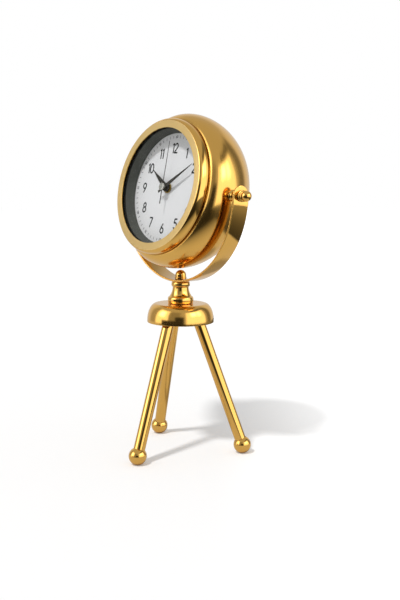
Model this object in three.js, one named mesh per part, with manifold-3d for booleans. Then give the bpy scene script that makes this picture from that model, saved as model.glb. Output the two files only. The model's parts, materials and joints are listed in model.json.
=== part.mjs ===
// Tripod table clock: a drum-shaped clock that tilts in a U-shaped yoke on three splayed legs.
// Millimetres, +Z up. The face looks along -Y and leans back. The floor is z = 0.
import * as THREE from "three";
import { mergeVertices } from "three/addons/utils/BufferGeometryUtils.js";
import Module from "manifold-3d";

const wasm = await Module();
wasm.setup();

// Sweeps of rounded edges, in degrees from their widest place
const beadSweep = 75;
const bellSweep = 80;
const screwHeadSweep = 60;

// Clearances
const seatGap = 0.3; // between two faces that rest on each other
const runGap = 0.15; // round a shaft that turns
const threadGap = 0.2; // round a screw in its hole
const overrun = 3; // how far a cutting tool reaches past the piece

// Facets
const drumSides = 36;
const turnedSides = 16;
const ballSides = 12;
const screwSides = 8;
const arcSteps = 3;
const drumSteps = 6;
const yokeSteps = 26;

// Feet: balls with a small flat to stand on
const footRadius = 8;
const footFlatRadius = 2.4;
const feetCircleRadius = 58.2;
const footSocketDepth = 3.2;
const footStudDepth = 5;
const firstLegAngle = -77.6;
const legCount = 3;

// Legs: round rods, tapped at both ends
const legRadius = 5.15;
const legRimCircleRadius = 17;
const legTopDepth = 5.5; // how far a leg reaches up inside the dome
const legEndChamfer = 0.5;
const legTapDepth = 12;
const studRadius = 2.5;

// Hub dome: a spun cup that covers the leg plate
const domeRimHeight = 120.5;
const domeSkirtRadius = 30.1;
const domeSkirtFlare = 0.3; // the rim is this much wider than the skirt's top
const domeSkirtHeight = 3;
const domeHeight = 17;
const domeTopRadius = 22.5;
const domeWall = 1.3;

// Leg plate: carries the legs, clamped under the dome by the centre bolt
const plateInset = 3; // from the edge of the dome's flat top in to the plate's
const plateThickness = 4;
const plateBossRim = 1.05; // how much wider a boss is than its leg

// Centre bolt and its washer
const boltRadius = 2.5;
const boltHeadLedge = 1.9; // from the shank out to the head's corners
const boltHeadHeight = 3.4;
const boltHeadSides = 6;
const boltWasherLedge = 0.6; // from the head's corners out to the washer's edge
const boltWasherThickness = 0.9;

// Pedestal: a turned bell with a ring on top, which the yoke turns on
const pedestalNeckRadius = 7.2;
const pedestalFlareReach = 1.15; // from the neck out to the flare
const pedestalShoulderReach = 1.6; // from the flare out to the shoulder
const pedestalBellReach = 1.7; // from the shoulder out to the bell's widest place
const pedestalBaseInset = 0.4;
const pedestalTopReach = 0.35; // from the neck out to the top
const pedestalRingReach = 1; // from the top's edge out to the ring
const pedestalBellHeight = 2.9;
const pedestalShoulderLength = 2.9;
const pedestalFlareLength = 3.2;
const pedestalNeckLength = 5.2;
const pedestalRingLength = 3; // from the neck's end up to the middle of the ring
const pedestalTopLength = 2.2;

// Acorn nut on the centre bolt
const acornRadius = 4.9;
const acornFlangeReach = 0.4;
const acornFlangeHeight = 1.8;
const acornStraight = 1.8; // from the flange up to where the cap starts to round
const acornCapHeight = 4.7;
const acornCrown = 2.3; // solid part over the thread
const boltEndGap = 1.4; // between the bolt's end and the bottom of the thread

// Yoke: a flat strap bent to a half ring, with straight round-ended arms
const yokeGap = 9.6; // between the strap and the drum at its widest
const yokeThickness = 1.8;
const yokeWidth = 17.25;
const pivotDrop = 2.5; // the pivots lie this far below the half ring's centre

// Head tilt in the rest pose
const headTilt = 11.8;

// Drum shell: spun sheet, open at the front and at the back
const drumRadius = 69.3;
const drumRearDepth = 55.4;
const drumCentreForward = 2.3;
const drumWall = 1.2;
const shoulderDrop = 10; // from the widest place in to the groove
const grooveForward = 19.8;
const beadHeight = 1; // above the groove
const beadWidth = 3.4;
const neckStep = 2.5; // from the groove in to the neck that carries the bezel
const rearOpeningRadius = 44;
const rearSeatDepth = 4.6;
const lugEnd = 1.2; // past the middle of the screw
const lugWidth = 8;
const lugThickness = 1.8;

// Bezel: a ring with a satin face and a rounded side, pressed over the drum's neck
const bezelWall = 3.4;
const bezelRound = 3.2; // from the side's widest place in to the flat face
const bezelOverlap = 0.55; // how far the bezel hides the dark ring's mouth
const bezelFaceThickness = 1.5;
const bezelSkirt = 5.4; // length of the rounded side
const bezelBeadGap = 0.5; // between the skirt and the bead
const bezelEdge = 0.4;

// Lens, dark ring and dial
const lensPlay = 0.5; // between the lens and the neck
const lensThickness = 1.6;
const surroundFlangeThickness = 0.9;
const surroundFlangeWidth = 3.3;
const surroundTaper = 2.5; // from the mouth in to the dial
const surroundWall = 1;
const dialInset = 2.1; // from the lens's edge in to the dial's
const dialThickness = 0.8;
const dialRecess = 14.1; // behind the bezel's face

// Rear cover ring, which holds three screws and leaves a hand hole
const coverWidth = 10; // from the shell's rear opening in to the hand hole
const coverThickness = 1.2;
const coverLipHeight = 2.2;
const coverLipWidth = 1.2;
const coverScrewInset = 4.4; // from the shell's rear opening in to the screws
const coverScrewCount = 3;
const coverScrewHeadRadius = 2.6;
const coverScrewHeadHeight = 1.5;
const coverScrewRadius = 1.2;
const coverScrewLength = 4.6;
const coverScrewSlotWidth = 0.7;
const coverScrewSlotDepth = 0.6;

// Tilt pivots: knobs outside, turned spacers between yoke and drum, nuts inside
const knobStemRadius = 2.5;
const knobNeckRadius = 4.3;
const knobNeckLength = 1.9;
const knobRingRadius = 5;
const knobRingWidth = 1;
const knobGrooveRadius = 4.1;
const knobGrooveWidth = 0.6;
const knobBallRadius = 4.8;
const knobLength = 10.1;
const spacerRingRadius = 5.4;
const spacerRingWidth = 2.6;
const spacerNeckRadius = 4.1;
const spacerFootRadius = 5;
const spacerFootWidth = 1.6;
const pivotNutRadius = 5.4;
const pivotNutHeight = 4;
const pivotNutSides = 6;

// Movement case: a shallow box behind the dial, with a battery bay along its bottom
const caseWall = 1;
const caseBackThickness = 1.3;
const washerLedge = 4.1; // from the bushing out to the washer's edge
const washerThickness = 0.6;
const bushingWall = 0.45;
const bushingEnd = 0.2; // past the dial nut
const dialNutLedge = 1.2; // from the bushing out to the nut's edge
const dialNutHeight = 1.5;

// Battery and its two contacts
const batteryRadius = 7.1;
const batteryLength = 49.4;
const batteryNubRadius = 2.7;
const batteryNubHeight = 1;
const batteryBottomGap = 0.4;
const batteryEndRoom = 2.3; // at each end, for the contacts
const contactThickness = 0.4;
const contactWidth = 9;
const contactHeight = 11;
const contactPadRadius = 2.2;
const bayWall = 0.8;

// Gear train: two side arbors at one distance from the middle, wheels in four layers
const arborDistance = 11;
const thirdArborDirection = 30;
const motionArborDirection = 150;
const layerCount = 4;
const layerPitch = 2.2;
const wheelThickness = 1.2;
const wheelRoomBehind = 4.2; // behind the first layer, for the coil and the sheets
const wheelRoomInFront = 1.2;
const wheelRoomBelow = 1.2; // between the widest middle wheel and the battery bay
const secondsPinionTeeth = 6;
const thirdWheelTeeth = 48;
const thirdPinionTeeth = 6;
const centreWheelTeeth = 45;
const cannonPinionTeeth = 8;
const motionWheelTeeth = 24;
const motionPinionTeeth = 8;
const hourWheelTeeth = 32;
const toothTipShare = 0.7; // of the module, outside the pitch circle
const toothRootShare = 0.95; // of the module, inside the pitch circle
const toothTopShare = 0.16; // of the pitch, width at a pinion tooth's tip
const toothFootShare = 0.48; // of the pitch, width at a pinion tooth's root
const secondArborRadius = 0.6;
const minuteTubeWall = 0.85;
const hourPipeWall = 0.55;
const thirdArborRadius = 0.5;
const motionArborRadius = 0.7;
const setKnobRadius = 6;
const setKnobThickness = 3.2;
const setKnobSides = 14;

// Stepping motor, as coil and plate, and the circuit board beside it
const coilRadius = 3;
const coilFlangeRadius = 3.8;
const coilLength = 21;
const coilFlangeWidth = 1;
const statorLength = 26;
const statorHeight = 8;
const statorThickness = 1;
const boardLength = 20;
const motorTopMargin = 1.2;

// Hands, and the angles they show, clockwise from the top
const handThickness = 0.45;
const handHubRim = 1.3; // from the shaft out to a hub's edge
const hourHandLift = 1.1; // in front of the bushing
const hourHandShort = 21.2; // from the tip out to the dark ring
const hourHandWidth = 6;
const hourHandAngle = 305;
const minuteHandLift = 2; // in front of the hour hand
const minuteHandShort = 9.5;
const minuteHandWidth = 3.9;
const minuteHandTail = 8.4;
const minuteHandAngle = 59;
const secondHandLift = 1.8; // in front of the minute hand
const secondHandShort = 8.4;
const secondHandWidth = 0.7;
const secondHandTail = 15.2;
const secondHandAngle = 359.6;
const secondCapRadius = 2.9;
const secondCapHeight = 1.2;
const handPointWidth = 0.3;

// Finishes: colour, roughness and metalness of each material
const finishes = {
  polishedGold: { color: 0xd9a94e, roughness: 0.16, metalness: 1 },
  satinGold: { color: 0xdcbc72, roughness: 0.4, metalness: 1 },
  darkRing: { color: 0x4b4c48, roughness: 0.75, metalness: 0 },
  dialWhite: { color: 0xe4e6e6, roughness: 0.8, metalness: 0 },
  handCharcoal: { color: 0x35332f, roughness: 0.5, metalness: 0.2 },
  silver: { color: 0xd7d7d2, roughness: 0.25, metalness: 1 },
  steel: { color: 0x9a9a98, roughness: 0.4, metalness: 1 },
  brass: { color: 0xa08445, roughness: 0.35, metalness: 1 },
  blackPlastic: { color: 0x1d1d1f, roughness: 0.55, metalness: 0 },
  paleNylon: { color: 0xd9d5c4, roughness: 0.6, metalness: 0 },
  copper: { color: 0xa8592e, roughness: 0.4, metalness: 1 },
  boardGreen: { color: 0x27573a, roughness: 0.6, metalness: 0 },
  batteryJacket: { color: 0x8b8f93, roughness: 0.35, metalness: 0.8 },
  glass: { color: 0xf4f8f8, roughness: 0.03, metalness: 0, transparent: true, opacity: 0.25 },
};

const degrees = THREE.MathUtils.degToRad;
const wholeTurn = 2 * Math.PI;

// Geometry helpers

// A geometry with shared corners merged and triangles without area left out.
function welded(geometry) {
  geometry.deleteAttribute("normal");
  geometry.deleteAttribute("uv");
  const merged = mergeVertices(geometry);
  const index = merged.getIndex().array;
  const kept = [];
  for (let i = 0; i < index.length; i += 3) {
    const [a, b, c] = [index[i], index[i + 1], index[i + 2]];
    if (a !== b && b !== c && c !== a) kept.push(a, b, c);
  }
  merged.setIndex(kept);
  merged.computeVertexNormals();
  return merged;
}

// A body of revolution about +Y. Each outline point is [radius, height].
function turned(outline, sides) {
  const points = outline.map(([radius, height]) => new THREE.Vector2(radius, height));
  if (THREE.ShapeUtils.area(points) < 0) points.reverse();
  if (outline[0][0] > 0) points.push(points[0].clone());
  return welded(new THREE.LatheGeometry(points, sides));
}

const standing = (geometry) => geometry.rotateX(Math.PI / 2); // +Y to +Z
const facing = (geometry) => geometry.rotateX(Math.PI); // +Y to -Y
const sideways = (geometry) => geometry.rotateZ(-Math.PI / 2); // +Y to +X

// A flat outline in the XZ plane, extruded towards the front by its thickness.
function plate(shape, thickness, steps = arcSteps) {
  const options = { depth: thickness, bevelEnabled: false, curveSegments: steps };
  return welded(new THREE.ExtrudeGeometry(shape, options).rotateX(Math.PI / 2));
}

// A box with its middle at the given place.
function block(width, depth, height, x = 0, y = 0, z = 0) {
  return welded(new THREE.BoxGeometry(width, depth, height).translate(x, y, z));
}

// A plain round bar about +Y from one height to another.
function bar(radius, from, to, sides = screwSides) {
  return turned([[0, from], [radius, from], [radius, to], [0, to]], sides);
}

// A tube about +Y.
function tube(outer, inner, from, to, sides = turnedSides) {
  return turned([[inner, from], [outer, from], [outer, to], [inner, to]], sides);
}

// Points on an ellipse arc, from one angle to another, as [radius, height].
function arc(r, h, a, b, from, to, steps = arcSteps) {
  const curve = new THREE.EllipseCurve(r, h, a, b, degrees(from), degrees(to), to < from);
  return curve.getPoints(steps).map((p) => [p.x, p.y]);
}

// Points on a smooth curve through the given [radius, height] points.
function smooth(points, steps) {
  const curve = new THREE.SplineCurve(points.map(([r, h]) => new THREE.Vector2(r, h)));
  return curve.getPoints(steps).map((p) => [p.x, p.y]);
}

function toSolid(geometry) {
  const merged = geometry.getIndex() ? geometry : welded(geometry);
  return new wasm.Manifold(new wasm.Mesh({
    numProp: 3,
    vertProperties: Float32Array.from(merged.getAttribute("position").array),
    triVerts: Uint32Array.from(merged.getIndex().array),
  }));
}

function fromSolid(solid) {
  const mesh = solid.getMesh();
  const geometry = new THREE.BufferGeometry();
  geometry.setAttribute("position", new THREE.BufferAttribute(mesh.vertProperties, 3));
  geometry.setIndex(new THREE.BufferAttribute(mesh.triVerts, 1));
  geometry.computeVertexNormals();
  return geometry;
}

function cut(geometry, ...tools) {
  return fromSolid(tools.reduce((solid, tool) => solid.subtract(toSolid(tool)), toSolid(geometry)));
}

function joined(geometry, ...others) {
  return fromSolid(others.reduce((solid, other) => solid.add(toSolid(other)), toSolid(geometry)));
}

function place(parent, name, geometry, finish, x = 0, y = 0, z = 0) {
  const mesh = new THREE.Mesh(geometry, new THREE.MeshStandardMaterial(finishes[finish]));
  mesh.name = name;
  mesh.position.set(x, y, z);
  parent.add(mesh);
  return mesh;
}

// Places worked out from the sizes
const footCentreHeight = Math.sqrt(footRadius ** 2 - footFlatRadius ** 2);
const domeRimRadius = domeSkirtRadius + domeSkirtFlare;
const plateRadius = domeTopRadius - plateInset;
const plateBossRadius = legRadius + plateBossRim;
const boltHeadRadius = boltRadius + boltHeadLedge;
const boltWasherRadius = boltHeadRadius + boltWasherLedge;
const legRise = domeRimHeight - footCentreHeight;
const legLean = Math.atan2(feetCircleRadius - legRimCircleRadius, legRise);
const legStart = footRadius - footSocketDepth + seatGap;
const legEnd = (legRise + legTopDepth) / Math.cos(legLean);
const domeTop = domeRimHeight + domeHeight;
const plateTop = domeTop - domeWall - seatGap;
const plateBottom = plateTop - plateThickness;
const pedestalShoulderHeight = pedestalBellHeight + pedestalShoulderLength;
const pedestalFlareHeight = pedestalShoulderHeight + pedestalFlareLength;
const pedestalNeckHeight = pedestalFlareHeight + pedestalNeckLength;
const pedestalRingHeight = pedestalNeckHeight + pedestalRingLength;
const pedestalBottom = domeTop + seatGap;
const pedestalTop = pedestalBottom + pedestalRingHeight + pedestalTopLength;
const yokeInside = drumRadius + yokeGap;
const yokeRadius = yokeInside + yokeThickness;
const yokeBottom = pedestalTop + seatGap;
const yokeCentreHeight = yokeBottom + yokeRadius;
const pivotHeight = yokeCentreHeight - pivotDrop;
const acornBottom = yokeBottom + yokeThickness + seatGap;
const acornCapStart = acornFlangeHeight + acornStraight;
const acornTapDepth = acornCapStart + acornCapHeight - acornCrown;
const tilt = degrees(headTilt);
const drumLift = pivotDrop * Math.cos(tilt); // the drum's axis above the pivots, square to it

const clock = new THREE.Group();

// Tripod
function makeFoot() {
  const flatAngle = THREE.MathUtils.radToDeg(Math.asin(-footCentreHeight / footRadius));
  const ball = standing(turned([[0, -footCentreHeight], ...arc(0, 0, footRadius, footRadius,
    flatAngle, 90, 2 * arcSteps)], ballSides));
  const floor = footRadius - footSocketDepth;
  const stud = studRadius + threadGap;
  const socket = legRadius + seatGap;
  const stop = floor - footStudDepth - seatGap;
  const tool = turned([[0, stop], [stud, stop], [stud, floor], [socket, floor],
    [socket, footRadius + overrun], [0, footRadius + overrun]], ballSides);
  return cut(ball, standing(tool).rotateY(-legLean));
}

function makeLeg() {
  const tap = studRadius + threadGap;
  return standing(turned([
    [0, legStart + legTapDepth], [tap, legStart + legTapDepth], [tap, legStart],
    [legRadius - legEndChamfer, legStart], [legRadius, legStart + legEndChamfer],
    [legRadius, legEnd - legEndChamfer], [legRadius - legEndChamfer, legEnd],
    [tap, legEnd], [tap, legEnd - legTapDepth], [0, legEnd - legTapDepth],
  ], ballSides));
}

const footStudStart = footRadius - footSocketDepth - footStudDepth;
const footStudEnd = legStart + legTapDepth - seatGap;
const legStudStart = legEnd - legTapDepth + seatGap;
const legStudEnd = (plateTop - footCentreHeight) / Math.cos(legLean) - studRadius;

for (let i = 0; i < legCount; i += 1) {
  const side = ["front", "right", "left"][i] ?? `more${i}`;
  const spoke = new THREE.Group();
  spoke.rotation.z = degrees(firstLegAngle + (i * 360) / legCount);
  clock.add(spoke);
  place(spoke, `foot_${side}`, makeFoot(), "polishedGold", feetCircleRadius, 0, footCentreHeight);
  const slope = new THREE.Group();
  slope.position.set(feetCircleRadius, 0, footCentreHeight);
  slope.rotation.y = -legLean;
  spoke.add(slope);
  place(slope, `leg_${side}`, makeLeg(), "polishedGold");
  place(slope, `foot_stud_${side}`, standing(bar(studRadius, footStudStart, footStudEnd)), "steel");
  place(slope, `leg_stud_${side}`, standing(bar(studRadius, legStudStart, legStudEnd)), "steel");
}

// A tool in the dome's frame, turned from +Y to lie along the leg with the given number.
function alongLeg(geometry, i) {
  return standing(geometry).rotateY(-legLean).translate(feetCircleRadius, 0, footCentreHeight)
    .rotateZ(degrees(firstLegAngle + (i * 360) / legCount));
}

function makeLegPlate() {
  const bossStart = legEnd + seatGap;
  const bossEnd = (plateTop - plateThickness / 2 - footCentreHeight) / Math.cos(legLean);
  const legs = [...Array(legCount).keys()];
  const bosses = legs.map((i) => alongLeg(bar(plateBossRadius, bossStart, bossEnd, ballSides), i));
  const holes = legs.map((i) => alongLeg(bar(studRadius + threadGap, bossStart - overrun,
    bossEnd + 2 * plateThickness), i));
  const disc = standing(bar(plateRadius, plateBottom, plateTop, turnedSides));
  const bore = standing(bar(boltRadius + threadGap, plateBottom - overrun, plateTop + overrun));
  const above = standing(bar(2 * plateRadius, plateTop, plateTop + 2 * plateThickness));
  return cut(joined(disc, ...bosses), above, bore, ...holes);
}
place(clock, "leg_plate", makeLegPlate(), "steel");

function makeDome() {
  const skirtTop = domeRimHeight + domeSkirtHeight;
  const crown = domeHeight - domeSkirtHeight;
  const shoulder = domeSkirtRadius - domeTopRadius;
  const bore = boltRadius + threadGap;
  return standing(turned([
    [bore, domeTop],
    ...arc(domeTopRadius, skirtTop, shoulder, crown, 90, 0, 2 * arcSteps),
    [domeRimRadius, domeRimHeight],
    [domeRimRadius - domeWall, domeRimHeight],
    ...arc(domeTopRadius, skirtTop, shoulder - domeWall, crown - domeWall, 0, 90),
    [bore, domeTop - domeWall],
  ], 2 * ballSides));
}
place(clock, "hub_dome", makeDome(), "polishedGold");

function makePedestal() {
  const bore = boltRadius + threadGap;
  const flareRadius = pedestalNeckRadius + pedestalFlareReach;
  const shoulderRadius = flareRadius + pedestalShoulderReach;
  const baseRadius = shoulderRadius + pedestalBellReach - pedestalBaseInset;
  const topRadius = pedestalNeckRadius + pedestalTopReach;
  return standing(turned([
    [bore, 0],
    [baseRadius, 0],
    ...arc(shoulderRadius, pedestalBellHeight, pedestalBellReach, pedestalShoulderLength,
      0, bellSweep),
    ...smooth([[shoulderRadius, pedestalShoulderHeight], [flareRadius, pedestalFlareHeight],
      [pedestalNeckRadius, pedestalNeckHeight]], arcSteps),
    ...arc(topRadius, pedestalRingHeight, pedestalRingReach, pedestalTopLength, -beadSweep, 90),
    [bore, pedestalRingHeight + pedestalTopLength],
  ], turnedSides));
}
place(clock, "pedestal", makePedestal(), "polishedGold", 0, 0, pedestalBottom);

const washerTop = plateBottom - seatGap;
const boltHeadTop = washerTop - boltWasherThickness - seatGap;
place(clock, "bolt_washer", standing(tube(boltWasherRadius, boltRadius + threadGap,
  washerTop - boltWasherThickness, washerTop)), "steel");
place(clock, "centre_bolt", joined(
  standing(bar(boltHeadRadius, boltHeadTop - boltHeadHeight, boltHeadTop, boltHeadSides)),
  standing(bar(boltRadius, boltHeadTop - boltHeadHeight / 2,
    acornBottom + acornTapDepth - boltEndGap)),
), "steel");

function makeAcornNut() {
  const bore = boltRadius + threadGap;
  const flange = acornRadius + acornFlangeReach;
  return standing(turned([
    [bore, 0], [flange, 0], [flange, acornFlangeHeight], [acornRadius, acornFlangeHeight],
    ...arc(0, acornCapStart, acornRadius, acornCapHeight, 0, 90),
    [0, acornTapDepth], [bore, acornTapDepth],
  ], ballSides));
}
place(clock, "acorn_nut", makeAcornNut(), "polishedGold", 0, 0, acornBottom);

// Yoke, drawn about the half ring's centre
function makeYoke() {
  const armTop = yokeWidth / 2 - pivotDrop;
  const strap = new THREE.Shape();
  strap.moveTo(-yokeRadius, armTop);
  strap.lineTo(-yokeRadius, 0);
  strap.absarc(0, 0, yokeRadius, Math.PI, wholeTurn, false);
  strap.lineTo(yokeRadius, armTop);
  strap.lineTo(yokeInside, armTop);
  strap.lineTo(yokeInside, 0);
  strap.absarc(0, 0, yokeInside, wholeTurn, Math.PI, true);
  strap.lineTo(-yokeInside, armTop);
  const band = plate(strap, yokeWidth, yokeSteps).translate(0, yokeWidth / 2, 0);
  const across = yokeRadius + overrun;
  const round = sideways(bar(yokeWidth / 2, -across - overrun, across + overrun, 2 * ballSides))
    .translate(0, 0, -pivotDrop);
  const ends = block(2 * across, yokeWidth + overrun, yokeWidth, 0, 0, yokeWidth / 2 - pivotDrop);
  const pivotHole = sideways(bar(knobStemRadius + threadGap, -across, across, ballSides))
    .translate(0, 0, -pivotDrop);
  const boltHole = standing(bar(boltRadius + threadGap, -yokeRadius - overrun, -yokeInside + overrun,
    ballSides));
  return cut(band, cut(ends, round), pivotHole, boltHole);
}
place(clock, "yoke", makeYoke(), "polishedGold", 0, 0, yokeCentreHeight);

// Head: everything that tilts. Its frame stands at the pivots.
const head = new THREE.Group();
head.position.set(0, 0, pivotHeight);
head.rotation.x = -tilt;
clock.add(head);

// Frame of the turned pieces: heights along their outlines count forwards from the pivots.
const drum = new THREE.Group();
drum.position.z = drumLift;
head.add(drum);

const grooveRadius = drumRadius - shoulderDrop;
const shoulderLength = grooveForward - drumCentreForward;
const beadRadius = grooveRadius + beadHeight;
const beadFront = grooveForward + beadWidth;
const neckRadius = grooveRadius - neckStep;
const bezelBore = neckRadius + seatGap;
const bezelRadius = bezelBore + bezelWall;
const bezelRear = beadFront + bezelBeadGap;
const bezelFaceForward = bezelRear + bezelSkirt;
const bezelBack = bezelFaceForward - bezelFaceThickness;
const neckFront = bezelBack - seatGap;
const lensRadius = neckRadius - drumWall - lensPlay;
const lensBack = neckFront - lensThickness;
const surroundMouthRadius = lensRadius - surroundFlangeWidth;
const surroundRootRadius = surroundMouthRadius - surroundTaper;
const bezelInnerRadius = surroundMouthRadius - bezelOverlap;
const dialRadius = lensRadius - dialInset;
const dialForward = bezelFaceForward - dialRecess;
const coverScrewCircleRadius = rearOpeningRadius - coverScrewInset;
const coverWindowRadius = rearOpeningRadius - coverWidth;

// The drum's outer radius at a place forward of the pivots.
function drumRadiusAt(forward) {
  const along = forward - drumCentreForward;
  if (along < 0) return drumRadius * Math.sqrt(1 - (along / drumRearDepth) ** 2);
  return grooveRadius + (drumRadius - grooveRadius) * Math.sqrt(1 - (along / shoulderLength) ** 2);
}

// The drum's outline from the groove over the widest place to the rear opening, set in by a wall.
function drumOutline(inset, steps) {
  const shoulder = arc(grooveRadius, drumCentreForward, drumRadius - grooveRadius - inset,
    shoulderLength - inset, 90, 0, steps);
  const stop = THREE.MathUtils.radToDeg(Math.acos((rearOpeningRadius + inset) / (drumRadius - inset)));
  const rear = arc(0, drumCentreForward, drumRadius - inset, drumRearDepth - inset, 0, -stop,
    steps);
  return [...shoulder, ...rear.slice(1)];
}

const outerDrum = drumOutline(0, drumSteps);
const rearEdge = outerDrum[outerDrum.length - 1][1];
const seatRadius = rearOpeningRadius - drumWall / 2;
const lugRear = rearEdge + coverScrewHeadHeight + coverThickness + 2 * seatGap;

function makeShell() {
  const outline = [
    [neckRadius, neckFront],
    [neckRadius, beadFront],
    ...arc(beadRadius - beadWidth / 4, beadFront - beadWidth / 2, beadWidth / 4, beadWidth / 2,
      bellSweep, -bellSweep),
    ...outerDrum,
    [seatRadius, rearEdge + drumWall / 2],
    [seatRadius, rearEdge + rearSeatDepth],
    [seatRadius + drumWall, rearEdge + rearSeatDepth],
    ...drumOutline(drumWall, drumSteps).reverse(),
    [neckRadius - drumWall, grooveForward - drumWall],
    [neckRadius - drumWall, neckFront],
  ];
  const shell = facing(turned(outline, drumSides));
  const lugs = [];
  for (let i = 0; i < coverScrewCount; i += 1) {
    const reach = coverScrewInset + lugEnd + drumWall / 2;
    const lug = block(lugWidth, lugThickness, reach, 0, -lugRear - lugThickness / 2,
      seatRadius + drumWall / 2 - reach / 2);
    lugs.push(lug.rotateY((i * wholeTurn) / coverScrewCount));
  }
  const across = drumRadius + overrun;
  const pivotHole = sideways(bar(knobStemRadius + threadGap, -across, across)).translate(0, 0,
    -drumLift);
  return cut(joined(shell, ...lugs), pivotHole, ...screwHoles());
}

// Tools for the cover's screw holes, through cover and lugs.
function screwHoles() {
  const holes = [];
  for (let i = 0; i < coverScrewCount; i += 1) {
    const hole = facing(bar(coverScrewRadius + threadGap, rearEdge - overrun,
      lugRear + lugThickness + overrun)).translate(0, 0, coverScrewCircleRadius);
    holes.push(hole.rotateY((i * wholeTurn) / coverScrewCount));
  }
  return holes;
}
place(drum, "case_shell", makeShell(), "polishedGold");

place(drum, "bezel", facing(turned([
  [bezelInnerRadius, bezelFaceForward - bezelEdge],
  [bezelInnerRadius + bezelEdge, bezelFaceForward],
  ...arc(bezelRadius - bezelRound, bezelRear, bezelRound, bezelSkirt, 90, 0),
  [bezelBore, bezelRear],
  [bezelBore, bezelBack],
  [bezelInnerRadius, bezelBack],
], drumSides)), "satinGold");

place(drum, "lens", facing(bar(lensRadius, lensBack, neckFront, drumSides)), "glass");

const surroundFront = lensBack - seatGap;
const surroundBack = dialForward + seatGap;
place(drum, "dial_surround", facing(turned([
  [surroundMouthRadius, surroundFront],
  [lensRadius, surroundFront],
  [lensRadius, surroundFront - surroundFlangeThickness],
  [surroundMouthRadius + surroundWall, surroundFront - surroundFlangeThickness],
  [surroundRootRadius + surroundWall, surroundBack + surroundWall],
  [dialRadius, surroundBack + surroundWall],
  [dialRadius, surroundBack],
  [surroundRootRadius, surroundBack],
], drumSides)), "darkRing");

// Shafts, each turning inside the next one, and the bushing round them all
const minuteTubeBore = secondArborRadius + runGap;
const minuteTubeRadius = minuteTubeBore + minuteTubeWall;
const hourPipeBore = minuteTubeRadius + runGap;
const hourPipeRadius = hourPipeBore + hourPipeWall;
const bushingBore = hourPipeRadius + runGap;
const bushingRadius = bushingBore + bushingWall;

place(drum, "dial", facing(tube(dialRadius, bushingRadius + seatGap, dialForward - dialThickness,
  dialForward, drumSides)), "dialWhite");

// Rear cover and its screws
const coverRear = lugRear - seatGap - coverThickness;
const coverFront = coverRear + coverThickness;
const coverRadius = seatRadius - seatGap;
place(drum, "rear_cover", cut(facing(turned([
  [coverWindowRadius, coverRear],
  [coverRadius, coverRear],
  [coverRadius, coverFront],
  [coverWindowRadius + coverLipWidth, coverFront],
  [coverWindowRadius + coverLipWidth, coverFront + coverLipHeight],
  [coverWindowRadius, coverFront + coverLipHeight],
], drumSides)), ...screwHoles()), "satinGold");

const screwSeat = coverRear - seatGap;
for (let i = 0; i < coverScrewCount; i += 1) {
  const screw = facing(turned([
    [0, screwSeat - coverScrewHeadHeight],
    ...arc(0, screwSeat - coverScrewHeadHeight / 2, coverScrewHeadRadius, coverScrewHeadHeight / 2,
      -screwHeadSweep, 0, 2),
    [coverScrewHeadRadius, screwSeat],
    [coverScrewRadius, screwSeat],
    [coverScrewRadius, screwSeat + coverScrewLength],
    [0, screwSeat + coverScrewLength],
  ], screwSides));
  const slot = block(2 * coverScrewHeadRadius + overrun, 2 * coverScrewSlotDepth,
    coverScrewSlotWidth, 0, coverScrewHeadHeight - screwSeat, 0);
  const spoke = new THREE.Group();
  spoke.rotation.y = (i * wholeTurn) / coverScrewCount;
  drum.add(spoke);
  place(spoke, `cover_screw_${i + 1}`, cut(screw, slot), "steel", 0, 0, coverScrewCircleRadius);
}

// Tilt pivots, alike on both sides
const spacerStart = Math.sqrt(drumRadius ** 2 - drumLift ** 2) + seatGap;
const spacerEnd = Math.sqrt(yokeInside ** 2 - (pivotDrop + spacerRingRadius) ** 2) - seatGap;
const drumRadiusAtNut = Math.min(drumRadiusAt(pivotNutRadius), drumRadiusAt(-pivotNutRadius));
const nutEnd = Math.sqrt((drumRadiusAtNut - drumWall) ** 2
  - (pivotNutRadius + drumLift) ** 2) - seatGap;
const knobStart = yokeRadius + seatGap;

function makeKnob() {
  const ringStart = knobNeckLength;
  const grooveStart = ringStart + knobRingWidth;
  const ballStart = grooveStart + knobGrooveWidth;
  const ballCentre = knobLength - knobBallRadius;
  const stem = nutEnd - pivotNutHeight - knobStart;
  const open = THREE.MathUtils.radToDeg(Math.asin((ballStart - ballCentre) / knobBallRadius));
  return sideways(turned([
    [0, stem], [knobStemRadius, stem], [knobStemRadius, 0],
    [knobNeckRadius, 0], [knobNeckRadius, ringStart],
    [knobRingRadius, ringStart + knobRingWidth / 4],
    [knobRingRadius, grooveStart - knobRingWidth / 4],
    [knobGrooveRadius, grooveStart],
    ...arc(0, ballCentre, knobBallRadius, knobBallRadius, open, 90, 2 * arcSteps),
  ], ballSides));
}

function makeSpacer() {
  const bore = knobStemRadius + threadGap;
  const neckEnd = spacerEnd - spacerRingWidth;
  return sideways(turned([
    [bore, spacerStart], [spacerFootRadius, spacerStart],
    [spacerFootRadius, spacerStart + spacerFootWidth / 2],
    [spacerNeckRadius, spacerStart + spacerFootWidth],
    [spacerNeckRadius, neckEnd],
    ...arc(spacerNeckRadius, spacerEnd - spacerRingWidth / 2, spacerRingRadius - spacerNeckRadius,
      spacerRingWidth / 2, -beadSweep, beadSweep),
    [spacerNeckRadius, spacerEnd], [bore, spacerEnd],
  ], ballSides));
}

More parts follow.
